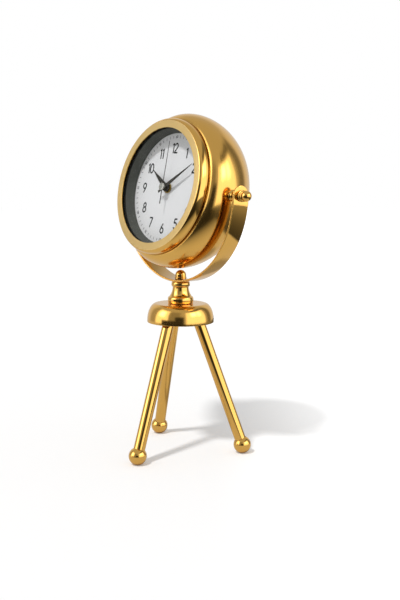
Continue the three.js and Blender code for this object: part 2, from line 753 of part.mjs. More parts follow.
for (const [side, turn] of [["right", 0], ["left", Math.PI]]) {
  const pivot = new THREE.Group();
  pivot.rotation.z = turn;
  head.add(pivot);
  place(pivot, `pivot_knob_${side}`, makeKnob(), "polishedGold", knobStart);
  place(pivot, `pivot_spacer_${side}`, makeSpacer(), "polishedGold");
  const nut = cut(sideways(bar(pivotNutRadius, nutEnd - pivotNutHeight, nutEnd, pivotNutSides)),
    sideways(bar(knobStemRadius + threadGap, nutEnd - pivotNutHeight - overrun, nutEnd + overrun)));
  place(pivot, `pivot_nut_${side}`, nut, "steel");
}

// A pinion and the wheel that it meshes with share the arbor distance by their teeth.
function pitchOf(teeth, mateTeeth) {
  return (arborDistance * teeth) / (teeth + mateTeeth);
}

// A toothed wheel's radius over its teeth
function tipOf(teeth, pitchRadius) {
  return pitchRadius + (toothTipShare * 2 * pitchRadius) / teeth;
}

// Movement case with the bushing that the dial is clamped on. The wheels' layers set its depth,
// the widest middle wheel and the battery set its height, and the battery its width.
const washerFront = dialForward - dialThickness - seatGap;
const caseFrontForward = washerFront - washerThickness - seatGap;
const frontWallBack = caseFrontForward - caseWall;
const lastLayerFront = frontWallBack - wheelRoomInFront;
const firstLayerForward = lastLayerFront - wheelThickness - (layerCount - 1) * layerPitch;
const caseRear = firstLayerForward - wheelRoomBehind;
const caseDepth = caseFrontForward - caseRear;
const bayTop = -tipOf(centreWheelTeeth, pitchOf(centreWheelTeeth, thirdPinionTeeth))
  - wheelRoomBelow - bayWall;
const batteryHeight = bayTop - batteryBottomGap - batteryRadius;
const caseHalf = -batteryHeight + batteryRadius + batteryBottomGap + caseWall;
const caseHeight = 2 * caseHalf;
const caseInside = batteryLength + 2 * batteryEndRoom;
const caseWidth = caseInside + 2 * caseWall;
const batteryForward = frontWallBack - batteryBottomGap - batteryRadius;
const bushingLength = dialForward + seatGap + dialNutHeight + bushingEnd - caseFrontForward;
const hourHandForward = caseFrontForward + bushingLength + hourHandLift;
const minuteHandForward = hourHandForward + minuteHandLift;
const secondHandForward = minuteHandForward + secondHandLift;
const layer = (number) => firstLayerForward + number * layerPitch;

function makeMovementCase() {
  const middle = (caseFrontForward + caseRear) / 2;
  const outside = block(caseWidth, caseDepth, caseHeight, 0, -middle, 0);
  const hollow = block(caseInside, caseDepth, caseHeight - 2 * caseWall, 0, caseWall - middle, 0);
  const bay = block(caseWidth - caseWall, caseDepth - caseWall / 2, bayWall, 0,
    -middle - caseWall / 4, bayTop + bayWall / 2);
  const bushing = facing(bar(bushingRadius, frontWallBack + caseWall / 2,
    caseFrontForward + bushingLength, turnedSides));
  const bore = facing(bar(bushingBore, frontWallBack - overrun,
    caseFrontForward + bushingLength + overrun, turnedSides));
  return cut(joined(cut(outside, hollow), bay, bushing), bore);
}
place(drum, "movement_case", makeMovementCase(), "blackPlastic");

// A place on the movement, at a distance from the middle in a direction from +X towards +Z.
function polar(distance, direction) {
  return [distance * Math.cos(degrees(direction)), distance * Math.sin(degrees(direction))];
}
const [thirdX, thirdZ] = polar(arborDistance, thirdArborDirection);
const [motionX, motionZ] = polar(arborDistance, motionArborDirection);

const backFront = caseRear - seatGap;
const backRear = backFront - caseBackThickness;
function makeMovementBack() {
  const sheet = block(caseWidth, caseBackThickness, caseHeight, 0, -(backFront + backRear) / 2, 0);
  const bay = block(caseInside - 2 * caseWall, caseBackThickness + overrun, 2 * batteryRadius, 0,
    -(backFront + backRear) / 2, batteryHeight);
  const hole = facing(bar(motionArborRadius + runGap, backRear - overrun, backFront + overrun))
    .translate(motionX, 0, motionZ);
  return cut(sheet, bay, hole);
}
place(drum, "movement_back", makeMovementBack(), "blackPlastic");

place(drum, "dial_washer", facing(tube(bushingRadius + washerLedge, bushingRadius + seatGap,
  washerFront - washerThickness, washerFront)), "blackPlastic");
place(drum, "dial_nut", facing(tube(bushingRadius + dialNutLedge, bushingRadius + threadGap,
  dialForward + seatGap, dialForward + seatGap + dialNutHeight)), "brass");

// Battery across the bay, with a contact plate at each end
const contactFace = caseInside / 2 - seatGap - contactThickness;
const batteryEnd = batteryLength / 2;
place(drum, "battery", sideways(turned([
  [0, -batteryEnd], [batteryRadius, -batteryEnd], [batteryRadius, batteryEnd],
  [batteryNubRadius, batteryEnd], [batteryNubRadius, batteryEnd + batteryNubHeight],
  [0, batteryEnd + batteryNubHeight],
], ballSides)), "batteryJacket", 0, -batteryForward, batteryHeight);

function makeContact(reach) {
  const leaf = block(contactThickness, contactHeight, contactWidth,
    contactFace + contactThickness / 2, 0, 0);
  const pad = sideways(bar(contactPadRadius, reach + seatGap, contactFace + contactThickness / 2));
  return joined(leaf, pad);
}
for (const [side, turn, reach] of [["plus", 0, batteryEnd + batteryNubHeight],
  ["minus", Math.PI, batteryEnd]]) {
  const contact = place(drum, `battery_contact_${side}`, makeContact(reach), "silver", 0,
    -batteryForward, batteryHeight);
  contact.rotation.z = turn;
}

// Toothed wheels. A wheel's outline starts with a tooth at the given angle.
function toothedShape(teeth, pitchRadius, angle, pointed) {
  const tip = tipOf(teeth, pitchRadius);
  const root = pitchRadius - (toothRootShare * 2 * pitchRadius) / teeth;
  const step = wholeTurn / teeth;
  const shape = new THREE.Shape();
  for (let i = 0; i < teeth; i += 1) {
    const middle = angle + i * step;
    const corners = pointed ? [[root, -1 / 2], [tip, 0]] : [[root, -toothFootShare / 2],
      [tip, -toothTopShare / 2], [tip, toothTopShare / 2], [root, toothFootShare / 2]];
    for (const [radius, share] of corners) {
      const turn = middle + share * step;
      const draw = shape.curves.length || shape.currentPoint.length() ? "lineTo" : "moveTo";
      shape[draw](radius * Math.cos(turn), radius * Math.sin(turn));
    }
  }
  shape.closePath();
  return shape;
}

function wheelAt(teeth, mateTeeth, angle, layerNumber, pointed) {
  return plate(toothedShape(teeth, pitchOf(teeth, mateTeeth), angle, pointed), wheelThickness)
    .translate(0, -layer(layerNumber), 0);
}

const thirdAngle = degrees(thirdArborDirection);
const motionAngle = degrees(motionArborDirection);
const gapFacing = (angle, teeth) => angle + Math.PI + Math.PI / teeth;
const arborFront = frontWallBack - seatGap;
const arborRear = backFront + seatGap;
const secondArborEnd = secondHandForward + secondCapHeight / 2;

place(drum, "seconds_arbor", joined(
  facing(bar(secondArborRadius, arborRear, secondArborEnd)),
  wheelAt(secondsPinionTeeth, thirdWheelTeeth, thirdAngle, 0, false),
), "steel");

place(drum, "centre_wheel", cut(joined(
  wheelAt(centreWheelTeeth, thirdPinionTeeth, thirdAngle, 1, true),
  wheelAt(cannonPinionTeeth, motionWheelTeeth, motionAngle, 2, false),
  facing(bar(minuteTubeRadius, layer(1), minuteHandForward + handThickness, ballSides)),
), facing(bar(minuteTubeBore, layer(1) - overrun, minuteHandForward + overrun))), "brass");

place(drum, "hour_wheel", cut(joined(
  wheelAt(hourWheelTeeth, motionPinionTeeth, motionAngle, 3, true),
  facing(bar(hourPipeRadius, layer(3), hourHandForward + handThickness, ballSides)),
), facing(bar(hourPipeBore, layer(3) - overrun, hourHandForward + overrun, ballSides))), "paleNylon");

place(drum, "third_wheel", joined(
  wheelAt(thirdWheelTeeth, secondsPinionTeeth, gapFacing(thirdAngle, thirdWheelTeeth), 0, true),
  wheelAt(thirdPinionTeeth, centreWheelTeeth, gapFacing(thirdAngle, thirdPinionTeeth), 1, false),
  facing(bar(thirdArborRadius, arborRear, arborFront)),
), "paleNylon", thirdX, 0, thirdZ);

const setKnobFront = backRear - seatGap;
place(drum, "motion_work_wheel", joined(
  wheelAt(motionWheelTeeth, cannonPinionTeeth, gapFacing(motionAngle, motionWheelTeeth), 2, true),
  wheelAt(motionPinionTeeth, hourWheelTeeth, gapFacing(motionAngle, motionPinionTeeth), 3, false),
  facing(bar(motionArborRadius, setKnobFront - setKnobThickness / 2, arborFront)),
), "paleNylon", motionX, 0, motionZ);

place(drum, "set_knob", cut(
  facing(bar(setKnobRadius, setKnobFront - setKnobThickness, setKnobFront, setKnobSides)),
  facing(bar(motionArborRadius + runGap, setKnobFront - setKnobThickness / 2 - seatGap,
    setKnobFront + overrun)),
), "blackPlastic", motionX, 0, motionZ);

// Stepping motor coil on its plate, and the circuit board, above the wheels
const motorHeight = caseHalf - caseWall - motorTopMargin - statorHeight / 2;
const motorLeft = -caseInside / 2 + motorTopMargin;
const sheetForward = backFront + seatGap + statorThickness / 2;
place(drum, "motor_plate", block(statorLength, statorThickness, statorHeight,
  motorLeft + statorLength / 2, -sheetForward, motorHeight), "steel");
place(drum, "motor_coil", sideways(turned([
  [0, 0], [coilFlangeRadius, 0], [coilFlangeRadius, coilFlangeWidth], [coilRadius, coilFlangeWidth],
  [coilRadius, coilLength - coilFlangeWidth], [coilFlangeRadius, coilLength - coilFlangeWidth],
  [coilFlangeRadius, coilLength], [0, coilLength],
], ballSides)), "copper", motorLeft + (statorLength - coilLength) / 2,
-(sheetForward + statorThickness / 2 + seatGap + coilFlangeRadius), motorHeight);
place(drum, "circuit_board", block(boardLength, statorThickness, statorHeight,
  caseInside / 2 - motorTopMargin - boardLength / 2, -sheetForward, motorHeight), "boardGreen");

// Hands. Each outline points up from the middle and is turned to its angle.
function handShape(length, width, hub, tail) {
  const shape = new THREE.Shape();
  const open = Math.asin(Math.min(width / 2 / hub, 1));
  const half = handPointWidth / 2;
  shape.moveTo(-half, length);
  shape.lineTo(-width / 2, hub * Math.cos(open));
  if (tail > hub) {
    shape.absarc(0, 0, hub, Math.PI / 2 + open, Math.PI * 1.5 - open, false);
    shape.lineTo(-width / 2, -tail);
    shape.lineTo(width / 2, -tail);
    shape.absarc(0, 0, hub, -Math.PI / 2 + open, Math.PI / 2 - open, false);
  } else {
    shape.absarc(0, 0, hub, Math.PI / 2 + open, Math.PI * 2.5 - open, false);
  }
  shape.lineTo(half, length);
  shape.closePath();
  return shape;
}

function makeHand(shape, forward, angle, shaft) {
  const hand = plate(shape, handThickness).translate(0, -forward, 0);
  const hole = facing(bar(shaft, forward - overrun, forward + overrun, ballSides));
  return cut(hand, hole).rotateY(degrees(angle));
}

const hourShape = handShape(surroundRootRadius - hourHandShort, hourHandWidth,
  hourPipeRadius + handHubRim, 0);
const minuteShape = handShape(surroundRootRadius - minuteHandShort, minuteHandWidth,
  minuteTubeRadius + handHubRim, minuteHandTail);
place(drum, "hour_hand", makeHand(hourShape, hourHandForward, hourHandAngle,
  hourPipeRadius + runGap), "handCharcoal");
place(drum, "minute_hand", makeHand(minuteShape, minuteHandForward, minuteHandAngle,
  minuteTubeRadius + runGap), "handCharcoal");

function makeSecondHand() {
  const shape = handShape(surroundRootRadius - secondHandShort, secondHandWidth, secondCapRadius,
    secondHandTail);
  const needle = plate(shape, handThickness).translate(0, -secondHandForward, 0)
    .rotateY(degrees(secondHandAngle));
  const cap = facing(bar(secondCapRadius, secondHandForward, secondHandForward + secondCapHeight,
    ballSides));
  const hole = facing(bar(secondArborRadius + runGap, secondHandForward - overrun,
    secondArborEnd + seatGap));
  return cut(joined(needle, cap), hole);
}
place(drum, "second_hand", makeSecondHand(), "handCharcoal");

// The origin is on the floor, under the middle of the clock's outline.
const outline = new THREE.Box3().setFromObject(clock, true);
clock.position.x = -(outline.min.x + outline.max.x) / 2;
clock.position.y = -(outline.min.y + outline.max.y) / 2;

const model = new THREE.Group();
model.add(clock);
export default model;
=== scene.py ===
"""Looks of the tripod table clock: polished gold metal, a white dial and a plain studio."""

import json
import math

import bpy
import numpy as np
from bpy.props import FloatProperty, FloatVectorProperty, PointerProperty
from mathutils import Matrix


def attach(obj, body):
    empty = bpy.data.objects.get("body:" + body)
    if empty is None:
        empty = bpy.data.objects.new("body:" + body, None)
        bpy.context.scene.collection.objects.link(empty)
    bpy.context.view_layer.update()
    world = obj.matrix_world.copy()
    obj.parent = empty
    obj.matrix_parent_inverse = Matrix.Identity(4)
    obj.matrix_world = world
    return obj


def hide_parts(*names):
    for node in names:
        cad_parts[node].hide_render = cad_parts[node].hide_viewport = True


bl_info = {
    "name": "Tripod table clock",
    "version": (1, 0, 0),
    "blender": (4, 5, 0),
    "location": "View3D > Sidebar > Clock",
    "description": "Builds the visible surfaces of a tilting table clock on three legs",
    "category": "Add Mesh",
}

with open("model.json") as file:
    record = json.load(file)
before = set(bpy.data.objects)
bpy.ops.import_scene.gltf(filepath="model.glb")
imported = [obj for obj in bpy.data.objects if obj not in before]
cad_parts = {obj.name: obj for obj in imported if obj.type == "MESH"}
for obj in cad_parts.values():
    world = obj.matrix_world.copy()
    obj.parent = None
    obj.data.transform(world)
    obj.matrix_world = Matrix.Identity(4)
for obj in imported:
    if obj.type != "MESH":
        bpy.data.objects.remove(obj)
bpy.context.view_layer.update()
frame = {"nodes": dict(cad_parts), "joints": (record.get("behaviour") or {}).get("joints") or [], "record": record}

MM = 0.001
FULL_TURN = 2 * math.pi
QUARTER_TURN = math.pi / 2
HALF_CIRCLE = 180
SENSOR_WIDTH = 36
AXIS_X, AXIS_Y, AXIS_Z = 0, 1, 2
BLACK = (0.0, 0.0, 0.0)
WHITE = (1.0, 1.0, 1.0)
# Numbers of the sockets of a Mix node that mixes colours
MIX_FACTOR, MIX_FIRST, MIX_SECOND, MIX_RESULT = 0, 6, 7, 2
# A length below this counts as none
NOTHING = 1e-9
# Faces that meet at less than this angle are shaded as one round surface
CREASE = math.radians(38)
# How many faces go round a turned piece, from the widest pieces to the narrowest
WIDEST_SIDES = 192
COVER_SIDES = 160
SIDES = 128
ACORN_SIDES = 96
SMALL_SIDES = 64
NUT_SIDES = 48
HOURS = 12
MINUTES = 60
LEGS = ("front", "right", "left")
JOINTS = {joint["name"]: joint for joint in frame["joints"]}


# Sizes and colours that a user would change


def length(name, description, millimetres):
    """A length property, stored in metres."""
    return FloatProperty(name=name, description=description, default=millimetres * MM,
                         min=0.0, unit="LENGTH")


def angle(name, description, degrees):
    """An angle property, stored in radians."""
    return FloatProperty(name=name, description=description, default=math.radians(degrees),
                         subtype="ANGLE")


def share(name, description, value):
    """A plain number from nought to one."""
    return FloatProperty(name=name, description=description, default=value, min=0.0, max=1.0,
                         subtype="FACTOR")


def colour(name, description, red, green, blue):
    """A colour property. The three numbers are screen values out of 255."""
    return FloatVectorProperty(name=name, description=description, size=3, min=0.0, max=1.0,
                               subtype="COLOR", default=screen_colour(red, green, blue))


def screen_colour(red, green, blue):
    """Turns screen values out of 255 into linear ones."""
    values = np.array([red, green, blue]) / 255
    linear = np.where(values <= 0.04045, values / 12.92, ((values + 0.055) / 1.055) ** 2.4)
    return tuple(float(value) for value in linear)


class TripodSizes(bpy.types.PropertyGroup):
    """Feet, legs, dome, pedestal and acorn nut."""

    foot_radius: length("Foot radius", "Radius of a ball foot", 8)
    foot_circle: length("Foot circle", "Radius of the circle that the feet stand on", 58.2)
    foot_height: length("Foot height", "Height of a ball's middle above the floor", 7.63)
    foot_socket: length("Foot socket", "How deep a leg sits in its ball", 3.2)
    first_leg: angle("First leg", "Direction of the first leg, from the side of the 3", -77.6)
    leg_radius: length("Leg radius", "Radius of a leg", 5.15)
    leg_lean: angle("Leg lean", "How far a leg leans from upright", 20.05)
    leg_start: length("Leg start", "Start of a leg above its ball's middle, along the leg", 5.1)
    leg_end: length("Leg end", "End of a leg above its ball's middle, along the leg", 126.0)
    dome_rim: length("Dome rim height", "Height of the dome's rim above the floor", 120.5)
    dome_height: length("Dome height", "Height of the dome", 17.0)
    dome_radius: length("Dome radius", "Radius of the dome's rim", 30.4)
    dome_top: length("Dome top radius", "Radius of the dome's flat top", 22.2)
    dome_wall: length("Dome wall", "Thickness of the dome's wall", 1.3)
    pedestal_foot: length("Pedestal foot height", "Height of the pedestal's foot", 137.8)
    pedestal_height: length("Pedestal height", "Height of the pedestal", 19.4)
    acorn_foot: length("Acorn nut foot height", "Height of the acorn nut's foot", 159.6)
    acorn_height: length("Acorn nut height", "Height of the acorn nut", 8.3)


class YokeSizes(bpy.types.PropertyGroup):
    """The bent strap and the pivots in its ends."""

    radius: length("Yoke radius", "Outer radius of the half ring", 80.7)
    thickness: length("Strap thickness", "Thickness of the strap", 1.8)
    width: length("Strap width", "Width of the strap", 17.25)
    pivot_drop: length("Pivot drop", "How far the pivots lie below the half ring's middle", 2.5)
    edge: length("Strap edge", "Rounding of the strap's edges", 0.88)
    knob_start: length("Knob start", "Where a knob starts, from the middle", 81.0)
    spacer_start: length("Spacer start", "Where a spacer starts, from the middle", 69.56)
    spacer_end: length("Spacer end", "Where a spacer ends, from the middle", 78.2)


class DrumSizes(bpy.types.PropertyGroup):
    """Drum shell, bezel, lens, dark ring, dial and rear cover."""

    radius: length("Drum radius", "Radius of the drum at its widest", 69.3)
    centre: length("Widest place", "How far the widest place lies in front of the pivots", 2.3)
    rear: length("Rear depth", "Depth of the rear curve if it closed", 55.4)
    rear_opening: length("Rear opening", "Radius of the opening at the back", 44)
    wall: length("Wall", "Thickness of the drum's sheet", 1.2)
    groove: length("Groove radius", "Radius of the groove behind the bead", 59.3)
    groove_place: length("Groove place", "How far the groove lies in front of the pivots", 19.8)
    bead: length("Bead radius", "Radius of the bead behind the bezel", 60.3)
    bead_width: length("Bead width", "Width of the bead", 3.4)
    neck: length("Neck radius", "Radius of the neck inside the bezel", 56.8)
    bezel_radius: length("Bezel radius", "Outer radius of the bezel", 60.5)
    bezel_round: length("Bezel side", "From the side's widest place in to the face", 3.2)
    bezel_inner: length("Bezel inner radius", "Inner radius of the bezel", 51.25)
    bezel_face: length("Bezel face", "How far the bezel's face lies in front of the pivots", 29.1)
    bezel_skirt: length("Bezel skirt", "Depth of the bezel's rounded side", 5.75)
    lens_radius: length("Lens radius", "Radius of the lens", 55.1)
    lens_thickness: length("Lens thickness", "Thickness of the lens", 1.6)
    lens_front: length("Lens front", "How far the lens lies in front of the pivots", 27.3)
    ring_mouth: length("Ring mouth radius", "Radius of the dark ring's mouth", 51.8)
    ring_root: length("Ring root radius", "Radius of the dark ring at the dial", 49.3)
    dial_radius: length("Dial radius", "Radius of the dial", 53)
    dial_front: length("Dial front", "How far the dial lies in front of the pivots", 15)
    dial_thickness: length("Dial thickness", "Thickness of the dial", 0.8)
    window: length("Window radius", "Radius of the rear cover's window", 34)


class DialSizes(bpy.types.PropertyGroup):
    """Numerals, minute track and hands."""

    numeral_radius: length("Numeral radius", "Radius of the circle of numerals", 36)
    numeral_height: length("Numeral height", "Height of an hour numeral", 9.2)
    numeral_stroke: length("Numeral stroke", "Width of an hour numeral's strokes", 1.35)
    track_radius: length("Track radius", "Middle radius of the minute track", 46.2)
    tick_length: length("Tick length", "Length of a minute tick", 2.4)
    tick_width: length("Tick width", "Width of a minute tick", 0.4)
    track_height: length("Track numeral height", "Height of a minute numeral", 2.5)
    ink: length("Ink", "Height of the printing above the dial", 0.06)
    hour_length: length("Hour hand", "Length of the hour hand", 28.1)
    hour_width: length("Hour hand width", "Width of the hour hand at its hub", 6)
    hour_front: length("Hour hand place", "Back of the hour hand in front of the pivots", 18.1)
    hour_angle: angle("Hour hand angle", "Clockwise from the 12", 305)
    minute_length: length("Minute hand", "Length of the minute hand", 39.8)
    minute_width: length("Minute hand width", "Width of the minute hand at its hub", 3.9)
    minute_front: length("Minute hand place", "Back of the minute hand", 20.1)
    minute_angle: angle("Minute hand angle", "Clockwise from the 12", 59)
    second_length: length("Second hand", "Length of the second hand", 40.9)
    second_front: length("Second hand place", "Back of the second hand", 21.9)
    second_angle: angle("Second hand angle", "Clockwise from the 12", 359.6)
    hand_thickness: length("Hand thickness", "Thickness of a hand", 0.45)


class FinishColours(bpy.types.PropertyGroup):
    """Colours of the finishes."""

    gold: colour("Polished gold", "Colour of the polished gold metal", 241, 189, 98)
    satin: colour("Satin gold", "Colour of the satin gold bezel", 238, 204, 136)
    dial: colour("Dial", "Colour of the dial", 232, 233, 234)
    ring: colour("Dark ring", "Colour of the ring round the dial", 82, 84, 79)
    ink: colour("Numerals", "Colour of the hour numerals", 46, 47, 46)
    track: colour("Track", "Colour of the minute track", 84, 87, 92)
    hand: colour("Hands", "Colour of the hands", 56, 54, 48)
    cap: colour("Cap", "Colour of the second hand's cap", 226, 226, 216)
    brass: colour("Brass", "Colour of brass pieces inside", 176, 148, 84)
    steel: colour("Steel", "Colour of steel pieces", 170, 170, 168)
    black: colour("Black plastic", "Colour of the movement's case", 32, 32, 34)
    nylon: colour("Nylon", "Colour of the pale wheels", 217, 213, 196)
    battery: colour("Battery", "Colour of the battery's jacket", 92, 104, 120)
    copper: colour("Copper", "Colour of the coil's winding", 178, 98, 54)
    board: colour("Board", "Colour of the circuit board", 36, 92, 60)


class StageSettings(bpy.types.PropertyGroup):
    """Camera, floor, sun and room."""

    lens: FloatProperty(name="Lens", description="Focal length in millimetres on a 36 mm frame",
                        default=52.660, min=1.0)
    distance: length("Distance", "From the stand's middle to the camera, along the floor", 792.49)
    height: length("Camera height", "Height of the camera above the floor", 247.30)
    bearing: angle("Bearing", "Direction of the camera round the clock, from the front", 51.932)
    swing: angle("Swing", "How far the camera looks to the side of the stand", -1.2759)
    pitch: angle("Pitch", "How far the camera looks down", 7.6877)
    roll: angle("Roll", "How far the camera is rolled", 0.4598)
    floor_size: length("Floor size", "Half the floor's width", 6000)
    sheet_reach: length("Paper reach", "How far the paper reaches to the right", 265)
    sheet_fade: length("Paper fade", "Width over which the paper ends at its right edge", 22)
    sheet_near: length("Paper near", "Where the paper starts to darken, towards the camera", 60)
    sheet_front: length("Paper front", "Where the paper is darkest, towards the camera", 420)
    floor_reach: length("Floor reach", "How far the floor reaches before the screens stand", 1050)
    paper: share("Paper", "Lightness of the paper", 0.82)
    paper_in_metal: share("Paper in metal", "Lightness of the paper in reflections", 0.76)
    bare: share("Bare floor", "Lightness beside the paper, in reflections", 0.04)
    bare_rise: share("Bare floor rise", "Lightness added further towards the right", 0.43)
    bare_start: length("Bare from", "Where the bare floor starts to be lighter", 100)
    bare_stop: length("Bare to", "Where the bare floor is lightest", 950)
    lift: share("Lift", "Light added to the paper where the camera sees it", 0.15)
    lift_rise: share("Lift rise", "Light added further towards the right", 0.36)
    lift_start: length("Rise from", "Where the lift starts to rise, to the right", 20)
    lift_stop: length("Rise to", "Where the lift is full, to the right", 200)
    sun_side: angle("Sun side", "Direction of the sun, from the camera's towards the right", -39)
    sun_height: angle("Sun height", "Height of the sun above the floor", 56.4)
    sun_size: angle("Sun size", "Width of the sun's disc, which softens the shadows", 6.5)
    sun_power: FloatProperty(name="Sun power", description="Strength of the sun",
                             default=1.8, min=0.0)
    room_light: FloatProperty(name="Room light", description="Brightness of the room's light",
                              default=0.57, min=0.0)
    ceiling_light: FloatProperty(name="Ceiling", description="Brightness of the ceiling in metal",
                                 default=0.52, min=0.0)


# What polished metal sees round the clock in a product studio: lit screens at both sides, a pale
# wall behind, and dark gaps between them. Each has its direction (from the camera's towards the
# right), its height, half its width, half its height and its soft edge, all in degrees, and its
# brightness. The later ones cover the earlier ones.
SURROUNDINGS = (
    ("back wall", 180, 10, 52, 30, 20, 0.72),
    ("dark beyond the left screen", -112, 16, 12, 28, 14, 0.42),
    ("dark beyond the right screen", 117, 18, 11, 30, 14, 0.20),
    ("dark over the right screen", 76, 47, 32, 6, 7, 0.18),
    ("shade between the screens", -24, 14, 24, 30, 16, 0.30),
    ("right screen", 58, 13.5, 38, 27, 9, 1.60),
    ("left screen", -70, 19, 25, 27, 8, 1.55),
    ("right lamp", 50, 29, 10, 8, 9, 4.2),
    ("right lamp, far", 72, 27, 7, 9, 9, 3.4),
    ("left lamp", -72, 27, 11, 11, 10, 4.2),
    ("dark band beside the camera", -34, -4, 34, 9, 5, 0.04),
    ("dark round the camera", -4, 3, 16, 17, 8, 0.04),
)


# Frames of reference: columns are the three axes and the origin


def basis(origin, axis_x, axis_y, axis_z):
    """A 4 x 4 matrix from an origin and three axes."""
    matrix = np.eye(4)
    matrix[:3, 0], matrix[:3, 1], matrix[:3, 2], matrix[:3, 3] = axis_x, axis_y, axis_z, origin
    return matrix


def stand_frame():
    """Origin on the floor under the stand's middle, Z up."""
    x, y, _ = JOINTS["yoke_swivel"]["pos_m"]
    return basis((x, y, 0), (1, 0, 0), (0, 1, 0), (0, 0, 1))


def head_frame():
    """Origin on the drum's axis beside the pivots, Z towards the viewer, Y towards the 12."""
    joint = JOINTS["minute_turn"]
    forward = -np.array(joint["axis"]) / np.linalg.norm(joint["axis"])
    side = np.array([1.0, 0.0, 0.0])
    return basis(joint["pos_m"], side, np.cross(forward, side), forward)


def pivot_frame(side):
    """Origin between the pivots, Z out towards one side (1 is the 3, -1 is the 9)."""
    _, y, z = JOINTS["head_tilt"]["pos_m"]
    out = np.array([side, 0.0, 0.0])
    up = np.array([0.0, 0.0, 1.0])
    return basis((0, y, z), np.cross(up, out), up, out)


def turn(matrix, about, radians):
    """The matrix turned about one of its own axes."""
    c, s = math.cos(radians), math.sin(radians)
    spin = np.eye(4)
    i, j = [(1, 2), (2, 0), (0, 1)][about]
    spin[i, i], spin[i, j], spin[j, i], spin[j, j] = c, -s, s, c
    return matrix @ spin


def shift(matrix, x=0.0, y=0.0, z=0.0):
    """The matrix moved along its own axes."""
    move = np.eye(4)
    move[:3, 3] = (x, y, z)
    return matrix @ move


# Outlines: arrays of (radius, height) points


def arc(radius, height, semi_r, semi_h, start, stop, count):
    """Points of an ellipse: (radius + semi_r cos t, height + semi_h sin t), t from start to
    stop in degrees."""
    t = np.radians(np.linspace(start, stop, count + 1))
    return np.column_stack([radius + semi_r * np.cos(t), height + semi_h * np.sin(t)])


def smooth(points, count):
    """A curve through the points: each span is the cubic whose end slopes are half the chord
    of the neighbouring points, in as many steps as the count says."""
    p = np.asarray(points, float)
    before = np.vstack([2 * p[0] - p[1], p[:-1]])[:-1]
    after = np.vstack([p[2:], 2 * p[-1] - p[-2]])
    t = np.linspace(0, 1, count + 1)[:, None, None]
    a, b = p[:-1], p[1:]
    slope_a, slope_b = (b - before) / 2, (after - a) / 2
    curve = ((2 * t**3 - 3 * t**2 + 1) * a + (t**3 - 2 * t**2 + t) * slope_a
             + (3 * t**2 - 2 * t**3) * b + (t**3 - t**2) * slope_b)
    return curve.transpose(1, 0, 2).reshape(-1, 2)


def eased(points, size, closed=False, steps=4):
    """Rounds the corners of an outline. Each corner becomes the curve (1-t)^2 A + 2t(1-t) P
    + t^2 B, where A and B lie on its two edges, `size` away or at most a share of the edge, with
    one more point beyond each so that flat parts shade flat."""
    share_of_edge = beyond = 0.35
    p = np.asarray(points, float)
    before, after = np.roll(p, 1, axis=0), np.roll(p, -1, axis=0)
    to_before, to_after = before - p, after - p
    reach_a = np.linalg.norm(to_before, axis=1, keepdims=True)
    reach_b = np.linalg.norm(to_after, axis=1, keepdims=True)
    size = np.broadcast_to(np.asarray(size, float), (len(p),))[:, None]
    if not closed:
        size = size.copy()
        size[0] = size[-1] = 0
    cut = np.minimum(size, share_of_edge * np.minimum(reach_a, reach_b))
    t = np.linspace(0, 1, steps + 1)
    reach = np.concatenate([[-beyond], t, [1 + beyond]])[:, None, None]
    t = np.clip(reach, 0, 1)
    a = p + to_before / reach_a * cut
    b = p + to_after / reach_b * cut
    curve = (1 - t) ** 2 * a + 2 * t * (1 - t) * p + t**2 * b
    curve += np.maximum(-reach, 0) * (a - p) + np.maximum(reach - 1, 0) * (b - p)
    curve = curve.transpose(1, 0, 2).reshape(-1, 2)
    kept = np.ones(len(curve), bool)
    kept[1:] = np.linalg.norm(np.diff(curve, axis=0), axis=1) > NOTHING
    return curve[kept]


# Surfaces: a pair of vertex array and face list


def grid_faces(rows, columns, wrap_rows=False, wrap_columns=True):
    """Corner numbers of the four-sided faces of a grid, wrapped round where asked."""
    i, j = np.meshgrid(np.arange(rows - (not wrap_rows)), np.arange(columns - (not wrap_columns)),
                       indexing="ij")
    i, j = i.ravel(), j.ravel()
    down, right = (i + 1) % rows, (j + 1) % columns
    return np.column_stack([i * columns + j, i * columns + right, down * columns + right,
                            down * columns + j])


def without_repeats(faces):
    """Face lists with corners that fell together left out."""
    keep = faces != np.roll(faces, 1, axis=1)
    left = keep.sum(axis=1)
    three_sided = faces[left == 3][keep[left == 3]].reshape(-1, 3)
    return faces[left == 4].tolist() + three_sided.tolist()


def turned(outline, sides=SIDES):
    """A surface of revolution about Z: the point (r cos v, r sin v, h) for each outline point
    (r, h) and each angle v. An outline that starts on the axis ends on it, any other closes on
    itself."""
    p = np.asarray(outline, float)
    p = p[np.linalg.norm(p - np.roll(p, 1, axis=0), axis=1) > 0.001 * MM]
    closed = p[0, 0] > NOTHING
    area = np.sum(p[:, 0] * np.roll(p[:, 1], -1) - np.roll(p[:, 0], -1) * p[:, 1])
    if area < 0:
        p = p[::-1]
    v = np.linspace(0, FULL_TURN, sides, endpoint=False)
    radius = np.maximum(p[:, :1], 0)
    corners = np.stack([radius * np.cos(v), radius * np.sin(v),
                        np.broadcast_to(p[:, 1:], (len(p), sides))], axis=-1).reshape(-1, 3)
    number = np.arange(len(corners)).reshape(len(p), sides)
    on_axis = radius[:, 0] < NOTHING
    number[on_axis] = number[on_axis, :1]
    faces = number.ravel()[grid_faces(len(p), sides, wrap_rows=closed)]
    used, compact = np.unique(faces, return_inverse=True)
    return corners[used], without_repeats(compact.reshape(faces.shape))


